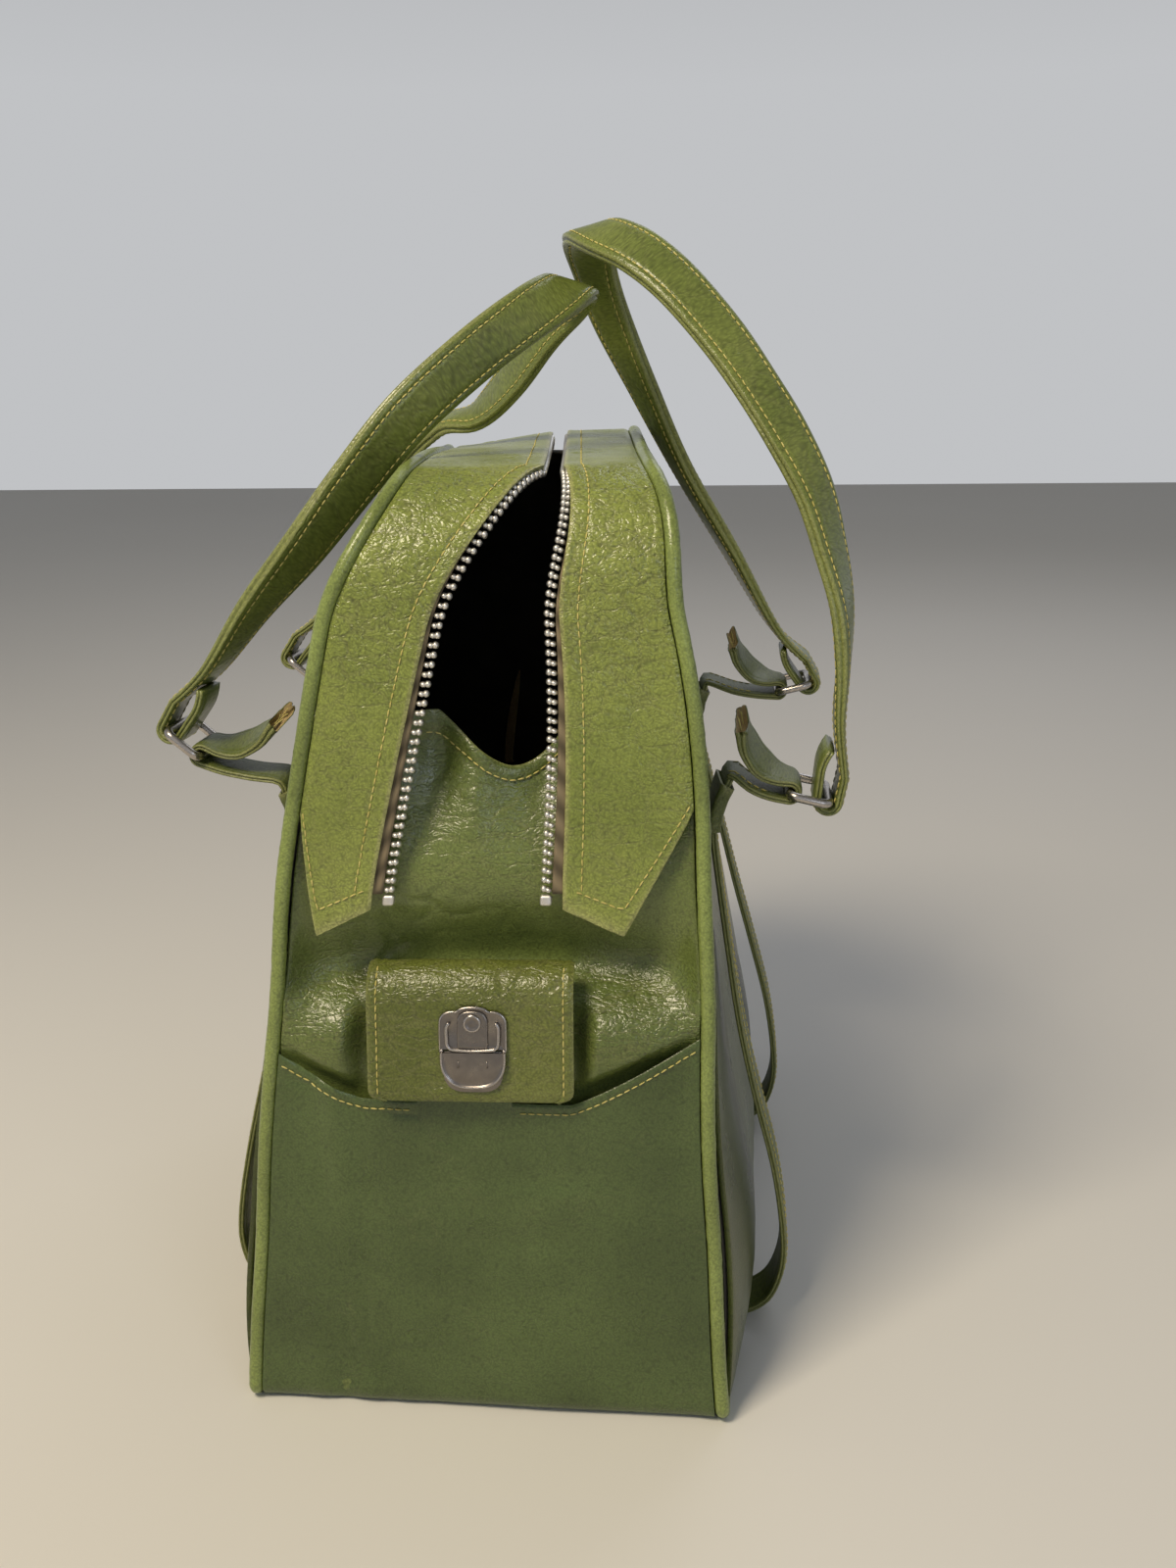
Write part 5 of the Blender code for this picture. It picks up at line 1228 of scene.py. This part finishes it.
def pressed(name, outline, middle, low, rings, node=None, bright=(), body="flap"):
    """A pressed part of the lock: its outline drawn out from the flap in rings of (inset, lift) that
    shrink about its middle. The walls of the rings named bright take the brighter, smoother nickel: a painted
    highlight on the rims."""
    shape = bmesh.new()
    face = shape.faces.new([shape.verts.new((a, b, low)) for a, b in outline])
    half_a = max(abs(a - middle[0]) for a, b in outline)
    half_b = max(abs(b - middle[1]) for a, b in outline)
    centre = Vector((middle[0], middle[1], 0.0))
    inset, lift = 0.0, low
    for index, (next_inset, next_lift) in enumerate(rings):
        drawn = bmesh.ops.extrude_face_region(shape, geom=[face])
        if index:
            bmesh.ops.delete(shape, geom=[face], context="FACES_KEEP_BOUNDARY")
        face = new_face(drawn)
        size = ((half_a - next_inset) / (half_a - inset), (half_b - next_inset) / (half_b - inset), 1.0)
        bmesh.ops.scale(shape, verts=face.verts, vec=size, space=Matrix.Translation(-centre))
        bmesh.ops.translate(shape, verts=face.verts, vec=(0.0, 0.0, next_lift - lift))
        # painted highlight: these rim walls get the bright nickel
        if index in bright:
            for wall in {wall for edge in face.edges for wall in edge.link_faces if wall is not face}:
                wall.material_index = 1
        inset, lift = next_inset, next_lift
    bmesh.ops.recalc_face_normals(shape, faces=shape.faces)
    bmesh.ops.transform(shape, matrix=on_flap, verts=shape.verts)
    bmesh.ops.recalc_face_normals(shape, faces=shape.faces)
    thing = finished(name, shape, dull_metal, plate_metal)
    thing.data.set_sharp_from_angle(angle=math.radians(48.0))
    dress(thing, None, node, body)


crown = rounded([(-LATCH_HALF, -GAP), (-LATCH_HALF, -0.0160), (-0.0072, -0.0166)],
                [0.0003, 0.0050, 0.0004], 6)
crown += [Vector((TONGUE_HALF * math.sin(angle), -0.0166 - 0.0018 * math.cos(angle)))
          for angle in spaced(-1.45, 1.45, 12)]
crown += rounded([(0.0072, -0.0166), (LATCH_HALF, -0.0160), (LATCH_HALF, -GAP)],
                 [0.0004, 0.0050, 0.0003], 6)
pressed("lock_face_plate", crown, (0.0, -0.0085), GAP, node="latch_plate", bright=(1, 2),
        rings=[(0.0, 0.0011), (0.0002, 0.0015), (0.0006, 0.0017), (0.0010, 0.0016), (0.0024, 0.0013)])

tongue = rounded([(-TONGUE_HALF, -0.0016), (-TONGUE_HALF, -0.0166), (TONGUE_HALF, -0.0166),
                  (TONGUE_HALF, -0.0016)], [0.0004, 0.0052, 0.0052, 0.0004], 8)
pressed("lock_tongue", tongue, (0.0, -0.0091), 0.0014, node="latch_tongue", bright=(1,),
        rings=[(0.0, 0.0021), (0.0002, 0.0024), (0.0006, 0.0025), (0.0012, 0.0024), (0.0030, 0.0025)])

boss = [Vector((0.0036 * math.cos(angle), -0.0118 + 0.0036 * math.sin(angle)))
        for angle in spaced(0.0, 2.0 * math.pi, 32)[:-1]]
pressed("lock_boss", boss, (0.0, -0.0118), 0.0022, bright=(1, 2),
        rings=[(0.0, 0.0027), (0.0003, 0.0031), (0.0008, 0.0032), (0.0013, 0.0029), (0.0020, 0.0027),
               (0.0028, 0.0029)])

sill = rounded([(-0.0118, 0.0), (0.0118, 0.0), (0.0118, 0.0165), (-0.0118, 0.0165)],
               [0.0004, 0.0004, 0.0085, 0.0085], 8)
pressed("lock_sill", sill, (0.0, 0.0), GAP, node="latch_sill", rings=[(0.0, 0.0008), (0.0002, 0.0009)])

thumb_half = LATCH_HALF * 0.97
thumb_low = LATCH_HEIGHT / 2.0 - THUMB_TRAVEL
thumb_square = 0.0030
thumb = [Vector((-thumb_half, 0.0002)), Vector((-thumb_half, thumb_square))]
for angle in spaced(0.0, math.pi / 2.0, 16)[1:]:
    down = thumb_square + (thumb_low - thumb_square) * math.sin(angle) ** 0.92
    thumb.append(Vector((-thumb_half * math.cos(angle) ** 0.75, down)))
thumb += [Vector((-point.x, point.y)) for point in thumb[-2::-1]]
pressed("lock_thumb_piece", thumb, (0.0, 0.0), 0.0009 + GAP, node="latch_thumb", bright=(1, 2, 3),
        body="thumb",
        rings=[(0.0, 0.0018), (0.0002, 0.0023), (0.0005, 0.0025), (0.0009, 0.0024), (0.0013, 0.0019),
               (0.0017, 0.0018), (0.0030, 0.0022), (0.0050, 0.0026), (0.0075, 0.0028), (0.0100, 0.0029)])

# the frame round the tongue, a bent wire; a tab at each end of the split; and two short grooves
# struck in the thumb piece
frame_line = rounded([(-0.0092, -0.0118), (-0.0104, -0.0100), (-0.0100, -0.0012), (0.0, -0.0002),
                      (0.0100, -0.0012), (0.0104, -0.0100), (0.0092, -0.0118)],
                     [0.0001, 0.0012, 0.0026, 0.0060, 0.0026, 0.0012, 0.0001])
frame_line = evenly([Vector((point.x, point.y, 0.0021)) for point in frame_line[1:-1]], 0.6 * MM)
wires = [("lock_frame", frame_line, 0.00072, plate_metal, "flap")]
for side, word in SIDE_NAMES.items():
    tab = [Vector((side * (LATCH_HALF - 0.0018), -0.0004, 0.0014)),
           Vector((side * (LATCH_HALF - 0.0004), -0.0003, 0.0013))]
    wires.append(("lock_tab_" + word, tab, 0.0007, plate_metal, "flap"))
    groove = [Vector((side * 0.0056, 0.0033, 0.00275)), Vector((side * 0.0057, 0.0060, 0.00290))]
    wires.append(("thumb_groove_" + word, groove, 0.00035, dull_metal, "thumb"))
for name, line, radius, paint, body in wires:
    wire = tube(name, [on_flap @ point for point in line], radius, 10, closed=False)
    dress(wire, paint, None, body)
softened("latch_back_plate", "flap", dull_metal, 0.0002)
softened("latch_receiver", "bag", dull_metal, 0.0003)

# ---- rings ----
# Each ring is nickel-plated steel wire 3.8 mm thick, bent to a rectangle and butted shut.
RING_WIRE = 0.0019
RING_PITCH = 0.0165
RING_CORNER = 0.0036
RING_HALF = 0.013 + RING_WIRE
RING_PLACES = {(RIGHT, NEAR): Vector((0.124, -0.083, 0.2525)), (RIGHT, FAR): Vector((0.124, 0.093, 0.255)),
               (LEFT, NEAR): Vector((-0.122, -0.093, 0.268)), (LEFT, FAR): Vector((-0.122, 0.083, 0.262))}
RING_TIPS = {(RIGHT, NEAR): -13.0, (RIGHT, FAR): 14.0, (LEFT, NEAR): 40.0, (LEFT, FAR): 40.0}


def ring_axes(side, end):
    """The way along a ring's strap bar, and the way out to its handle bar."""
    along = (RING_PLACES[(side, FAR)] - RING_PLACES[(side, NEAR)]).normalized()
    tip = math.radians(RING_TIPS[(side, end)])
    return along, square_to(Vector((side * math.cos(tip), 0.0, math.sin(tip))), along)


def outer_bar(side, end):
    return RING_PLACES[(side, end)] + ring_axes(side, end)[1] * RING_PITCH


for (side, end), bar in RING_PLACES.items():
    along, out = ring_axes(side, end)
    points = []
    for sign_a, sign_b, start in ((1, 1, 0.0), (-1, 1, 0.5), (-1, -1, 1.0), (1, -1, 1.5)):
        for angle in spaced(math.pi * start, math.pi * (start + 0.5), 8):
            a = sign_a * (RING_HALF - RING_CORNER) + RING_CORNER * math.cos(angle)
            b = RING_PITCH / 2.0 + sign_b * (RING_PITCH / 2.0 - RING_CORNER) + RING_CORNER * math.sin(angle)
            points.append(bar + along * a + out * b)
    name = "ring_" + SIDE_NAMES[side] + "_" + END_NAMES[end]
    dress(tube("wire_" + name, points, RING_WIRE, 20), plate_metal, name, name)

# ---- handles ----
# Two carrying handles, each a long strap of leathercloth folded over a felt core and stitched down
# both edges. Each end goes round its ring and is stitched back on itself.
HANDLE_WIDTH = 0.0222
HANDLE_WALL = 0.0064
HANDLE_END_WALL = 0.0036
SEWN_AT = 0.73
# painted light: the handles' copy of the leathercloth is given a lighter colour, for the light on their upper
# faces
handle_cloth = leathercloth("pvc_leathercloth_handles", "687536", "7D8944", (1.3, 0.7, 1.0), 0.9, True)


def through(route, steps):
    """Points of a smooth curve through the route."""
    points = []
    for index in range(len(route) - 1):
        before, start = route[max(0, index - 1)], route[index]
        end, after = route[index + 1], route[min(len(route) - 1, index + 2)]
        for step in range(steps):
            t = step / steps
            bend = (2.0 * before - 5.0 * start + 4.0 * end - after) * t * t
            turn = (3.0 * start - before - 3.0 * end + after) * t * t * t
            points.append(0.5 * (2.0 * start + (end - before) * t + bend + turn))
    return points + [route[-1].copy()]


def strip(name, centres, widths, width, wall_at, profile):
    """A strap: a closed section of profile points carried along a line of centres, pale at its two
    edges, partly from rubbing and partly as a painted highlight on their roll."""
    frames = []
    last = len(centres) - 1
    for index, centre in enumerate(centres):
        along = (centres[min(last, index + 1)] - centres[max(0, index - 1)]).normalized()
        across = square_to(widths[index], along)
        frames.append((centre, across, along.cross(across), wall_at(index)))
    length = sum((b - a).length for a, b in zip(centres, centres[1:]))
    around = len(profile)

    def place(u, v):
        centre, across, out, wall = pick(frames, v)
        a, b = profile[round(u * around) % around]
        return centre + across * (a * width / 2.0) + out * (b * wall / 2.0)

    # pale strap edges: partly rubbing, partly a painted highlight on the rolled edges
    def wear_and_sheen(u, v, point):
        return 0.30 * smooth_step(0.93, 1.0, abs(profile[round(u * around) % around][0])), 0.30

    return skin(name, around, last, place, size=(2.0 * width, length), join="ends", wear_and_sheen=wear_and_sheen), frames


def strap_profile(groove, notch, crown):
    """Half-width and half-thickness shares round a strap: crowned faces with a sewn groove near each
    edge, rounded edges, and a notch where the two turned layers meet."""
    face = [0.98, 0.94, 0.88, 0.82, 0.77, SEWN_AT, 0.69, 0.62, 0.5, 0.3, 0.1]
    face += [-a for a in reversed(face)]
    points = []
    for a in face:
        dip = groove * hump(abs(a), SEWN_AT, 0.05)
        points.append((a, 1.0 - 0.30 * abs(a) ** 6 + crown * (1.0 - a * a) - dip))
    points += [(-1.0, 0.62), (-1.02, 0.38), (-1.0, 0.16), (-1.0 + notch, 0.0),
               (-1.0, -0.16), (-1.02, -0.38), (-1.0, -0.62)]
    return points + [(-a, -b) for a, b in points]


def handle_end(side, end, toward):
    """One end of a handle: back from its stitching, round its ring and out again."""
    along = (outer_bar(side, FAR) - outer_bar(side, NEAR)).normalized()
    bar = outer_bar(side, end)
    lead = square_to(toward - bar, along)
    outside = along.cross(lead)
    if outside.x * side < 0.0:
        outside = -outside
    radius = RING_WIRE + 0.0008 + HANDLE_END_WALL / 2.0
    points = [bar - outside * (radius + 0.0004 - 0.0026 * (1.0 - share) ** 2) + lead * (0.022 - 0.010 * share)
              for share in spaced(0.0, 1.0, 4)]
    points += [bar - outside * (radius * math.cos(a)) - lead * (radius * math.sin(a))
               for a in spaced(0.0, math.pi, 20)]
    points.append(bar + outside * (radius + 0.0006) + lead * 0.0108)
    return points


# each handle's route over the bag, and the way its width faces there
HANDLE_ROUTES = {
    RIGHT: ((144, -84, 280), (145, -82, 304), (144, -79, 327), (139, -73, 350), (132, -67, 373),
            (120, -60, 396), (107, -52, 416), (93, -44, 435), (75, -35, 455), (59, -26, 468),
            (45, -14, 475), (36, 1, 478), (33, 17, 474), (35, 31, 462), (41, 41, 443),
            (54, 48, 414), (73, 60, 374), (97, 73, 332), (121, 86, 289)),
    LEFT: ((-118, -90, 303), (-99, -87, 328), (-78, -83, 352), (-58, -76, 377), (-35, -68, 404),
           (-11, -53, 426), (9, -36, 442), (23, -16, 452), (28, 0, 455), (23, 13, 450),
           (11, 22, 437), (-5, 33, 417), (-25, 48, 400), (-47, 58, 393), (-69, 65, 373),
           (-91, 75, 337), (-114, 81, 300))}
HANDLE_TURNS = {
    RIGHT: ((0, -1, 0), (-0.1, -1, 0), (-0.25, -0.95, -0.1), (-0.4, -0.85, -0.2), (-0.5, -0.8, -0.3),
            (-0.6, -0.75, -0.35), (-0.6, -0.75, -0.4), (-0.6, -0.7, -0.5), (-0.6, -0.65, -0.55),
            (-0.7, -0.5, -0.5), (-0.85, -0.25, -0.4), (-1, 0, -0.25), (-0.95, 0.3, -0.1),
            (-0.85, 0.5, 0), (-0.8, 0.6, 0), (-0.6, 0.8, 0), (-0.35, 0.9, 0), (-0.3, 0.95, 0),
            (-0.15, 1, 0)),
    LEFT: ((-0.1, -1, 0.1), (-0.25, -0.9, 0.25), (-0.42, -0.8, 0.42), (-0.52, -0.65, 0.55),
           (-0.58, -0.5, 0.62), (-0.62, -0.45, 0.64), (-0.7, -0.4, 0.6), (-0.85, -0.2, 0.45),
           (-0.95, 0, 0.3), (-0.8, 0.4, 0.4), (-0.6, 0.65, 0.4), (-0.45, 0.75, 0.4),
           (-0.4, 0.9, 0.2), (-0.3, 0.95, 0.1), (-0.2, 1, 0.1), (-0.1, 1, 0), (-0.05, 1, 0))}
handle_profile = strap_profile(0.14, 0.11, 0.10)
SPAN_STEPS = 8
for side in (RIGHT, LEFT):
    points = [Vector(point) * MM for point in HANDLE_ROUTES[side]]
    turns = [Vector(way) for way in HANDLE_TURNS[side]]
    near_end = handle_end(side, NEAR, points[0])
    far_end = handle_end(side, FAR, points[-1])[::-1]
    along = (outer_bar(side, FAR) - outer_bar(side, NEAR)).normalized()
    body_line = through([near_end[-1]] + points + [far_end[0]], SPAN_STEPS)[1:-1]
    body_turns = through([-along] + turns + [along], SPAN_STEPS)[1:-1]
    centres = near_end + body_line + far_end
    ways = [-along] * len(near_end) + body_turns + [along] * len(far_end)
    first, last = len(near_end), len(near_end) + len(body_line)

    def handle_wall(index):
        """Thin where the end has only its cloth round the ring, full where it has its core."""
        core = smooth_step(0.4, 5.2, min(index - first, last - index) / (SPAN_STEPS / 2.0))
        return HANDLE_END_WALL + (HANDLE_WALL - HANDLE_END_WALL) * core

    name = "handle_" + SIDE_NAMES[side]
    handle, frames = strip("strap_" + name, centres, ways, HANDLE_WIDTH, handle_wall, handle_profile)
    dress(handle, handle_cloth, name, body=name)
    for face_word, face in (("over", 1.0), ("under", -1.0)):
        for edge_word, sign in (("a", -1.0), ("b", 1.0)):
            line = [centre + across * (sign * SEWN_AT * HANDLE_WIDTH / 2.0) + out * (face * wall / 2.0)
                    for centre, across, out, wall in frames[6:-6]]
            sew(name + "_stitches_" + face_word + "_" + edge_word, handle, line, name)

# ---- side straps ----
# A flat double strap is sewn in at the base, hangs loose up each side panel, passes a keeper sewn
# to the panel, and goes round its ring. The tails are torn: the coat has curled off its backing.
STRAP_WIDTH = 0.0235
STRAP_WALL = 0.0032
STRAP_SEWN_AT = 0.70
LOOP_RADIUS = RING_WIRE + GAP + STRAP_WALL / 2.0
STANDOFF = ((0.014, 0.0110), (0.030, 0.0120), (0.050, 0.0116), (0.080, 0.0112), (0.115, 0.0093),
            (0.150, 0.0067), (0.190, 0.0046), (0.222, 0.0036), (0.234, 0.0035), (0.241, 0.0046),
            (0.248, 0.0071), (0.254, 0.0101), (0.258, 0.0135))
strap_cloth = leathercloth("pvc_leathercloth_straps", "59642E", "6C763A", (1.0, 1.0, 1.0), 0.9, True, 0.14)
strap_shape = strap_profile(0.12, 0.07, 0.0)

# cotton backing: the undyed woven cloth under the vinyl, tan and fuzzy where a strap is torn
backing_cloth = fibrous("tan_cotton_backing", "8C7850", "C2AE82", 0.8 * MM, 0.6, 0.4 * MM, 0.9)


def strap_stations(side, end):
    """(middle, way across) of a strap up the side panel, from its foot to where it leaves the bag."""
    y = end * 0.088
    foot = half_width(PIPING_RADIUS) + GAP + STRAP_WALL / 2.0
    rows = [(foot + 0.0006, 0.0040), (foot + 0.0085, 0.0062)]
    rows += [(side_face(y, z) + off, z) for z, off in STANDOFF]
    stations = []
    for x, z in rows:
        middle = slump(side * x, y, z)
        stations.append((middle, (slump(side * x, y + 0.01, z) - middle).normalized()))
    return stations


def open_end(strap, end_point, ahead, seed):
    """Tear a strap's end: its last edge runs ragged, and the folded sleeve stands open on its cloth."""
    shape = bmesh.new()
    shape.from_mesh(strap.data)
    cap = min((face for face in shape.faces if len(face.verts) > 8),
              key=lambda face: (face.calc_center_median() - end_point).length)
    for vert in cap.verts:
        torn = 0.0034 * noise.noise(vert.co * 190.0 + Vector((seed, 0.0, 0.0)))
        torn += 0.0050 * smooth_step(-0.003, 0.010, vert.co.y - end_point.y) - 0.0020
        vert.co += ahead * torn
    bmesh.ops.inset_region(shape, faces=[cap], thickness=0.0004, use_boundary=True, use_even_offset=True)
    bottom = new_face(bmesh.ops.extrude_face_region(shape, geom=[cap]))
    bmesh.ops.delete(shape, geom=[cap], context="FACES_ONLY")
    bmesh.ops.translate(shape, verts=bottom.verts, vec=ahead * -0.0045)
    bmesh.ops.scale(shape, verts=bottom.verts, vec=(0.7, 0.7, 0.7),
                    space=Matrix.Translation(-bottom.calc_center_median()))
    for edge in bottom.edges:
        for face in edge.link_faces:
            face.material_index = 1
    shape.to_mesh(strap.data)
    shape.free()


def ravelled_threads(name, start, ahead, across, out, side, end):
    """Four loose threads pulled out of a torn end, each its own way."""
    loose = bmesh.new()
    for index in range(4):
        foot = start + across * ((index - 1.5) * 0.0052) + out * (0.0006 * (index % 2) - 0.0003)
        wild = (noise.noise_vector(Vector((index * 1.7, side * 2.0, end * 3.0))) * 0.8 + ahead).normalized()
        hair = [foot - ahead * 0.002] + [foot + ahead * 0.0008 + wild * (0.0013 * step) for step in range(3)]
        ravel = tube("ravel", through(hair, 3), 0.00022, 6, closed=False)
        loose.from_mesh(ravel.data)
        bpy.data.meshes.remove(ravel.data)
    dress(finished(name, loose, thread_paint), None)


for side, end in ((LEFT, NEAR), (LEFT, FAR), (RIGHT, NEAR), (RIGHT, FAR)):
    words = SIDE_NAMES[side] + "_" + END_NAMES[end]
    along, _ = ring_axes(side, end)
    bar = RING_PLACES[(side, end)]
    stations = strap_stations(side, end)
    top = stations[-1][0]
    out = square_to(bar - top, along)
    normal = out.cross(along)
    if normal.z < 0.0:
        normal = -normal
    span = (bar - top).dot(out)
    lead = [middle for middle, _ in stations]
    lead += [bar - normal * (LOOP_RADIUS * 0.75) - out * (span * 0.62),
             bar - normal * (LOOP_RADIUS + 0.0002) - out * (span * 0.3)]
    loop = [bar + out * (LOOP_RADIUS * math.sin(a)) - normal * (LOOP_RADIUS * math.cos(a))
            for a in spaced(0.0, math.pi, 20)]
    tail = [bar + normal * (LOOP_RADIUS + rise) - out * back
            for rise, back in ((0.0006, 0.007), (0.0042, 0.015), (0.0115, 0.022), (0.0185, 0.026))]
    centres = through(lead + [loop[0]], 4)[:-1] + loop[:-1] + through([loop[-1]] + tail, 4)
    ways = through([across for _, across in stations] + [along] * 3, 4)[:-1] + [along] * (len(loop) - 1)
    curl = (normal - out * 0.4).normalized() * (1.0 if along.y > 0.0 else -1.0)
    for step in range(4 * len(tail) + 1):
        lifted = math.radians(38.0) * smooth_step(0.0, 3.0 * len(tail), step)
        ways.append(along * math.cos(lifted) + curl * math.sin(lifted))
    last = len(centres) - 1

    def strap_wall(index):
        """The two layers part toward the torn end."""
        return STRAP_WALL * (1.0 + 0.75 * smooth_step(last - 9.0, last, index))

    strap, frames = strip("side_strap_" + words, centres, ways, STRAP_WIDTH, strap_wall, strap_shape)
    dress(strap, strap_cloth, "strap_" + words)
    strap.data.materials.append(backing_cloth)
    ahead = (centres[-1] - centres[-3]).normalized()
    open_end(strap, centres[-1], ahead, 7.0 * side + 3.0 * end)
    for edge_word, sign in (("a", -1.0), ("b", 1.0)):
        line = []
        for centre, across, way, wall in frames[3:4 * (len(lead) - 1)]:
            outward = 1.0 if way.x * side > 0.0 or way.z < -0.8 else -1.0
            aside = sign * STRAP_SEWN_AT * STRAP_WIDTH / 2.0
            line.append(centre + across * aside + way * (outward * wall / 2.0))
        sew("strap_stitches_" + words + "_" + edge_word, strap, line)
    start, across, way, _ = frames[-1]
    ravelled_threads("strap_ravels_" + words, start, ahead, across, way, side, end)

# ---- keepers ----
# Each keeper is a short sleeve of leathercloth round the strap, sewn down to the side panel.
KEEPER_WALL = 0.0010
KEEPER_STATIONS = (10, 11, 12, 13)
rim_a = STRAP_WIDTH / 2.0 + GAP + KEEPER_WALL
rim_b = STRAP_WALL / 2.0 + GAP + KEEPER_WALL
keeper_rim = rounded([(-rim_a, -rim_b), (rim_a, -rim_b), (rim_a, rim_b), (-rim_a, rim_b)], [0.0017] * 4, 5)
for side, end in ((LEFT, NEAR), (LEFT, FAR), (RIGHT, NEAR), (RIGHT, FAR)):
    stations = strap_stations(side, end)
    frames = []
    for index in KEEPER_STATIONS:
        middle, across = stations[index]
        along = (stations[index + 1][0] - stations[index - 1][0]).normalized()
        across = square_to(across, along)
        frames.append((middle, across, along.cross(across)))

    def place_keeper(u, v):
        spot = v * (len(frames) - 1)
        low = min(len(frames) - 2, int(spot))
        middle, across, way = [a.lerp(b, spot - low) for a, b in zip(frames[low], frames[low + 1])]
        a, b = keeper_rim[round(u * len(keeper_rim)) % len(keeper_rim)]
        return middle + across.normalized() * a + way.normalized() * b

    def swell_keeper(u, v, point):
        return 0.0004 * hump(v, 1.0, 0.12) + 0.0003 * noise.noise(point * 260.0)

    # pale keeper rim: partly rubbing, partly a painted highlight on its turned rim
    def wear_and_sheen_keeper(u, v, point):
        return 0.35 * hump(v, 1.0, 0.10), 0.5

    words = SIDE_NAMES[side] + "_" + END_NAMES[end]
    keeper = skin("strap_keeper_" + words, len(keeper_rim), 12, place_keeper, KEEPER_WALL, (0.05, 0.02),
                  swell_keeper, join="seam", edge=0.0003, wear_and_sheen=wear_and_sheen_keeper)
    dress(keeper, strap_cloth, "keeper_" + words)

bpy.context.view_layer.update()
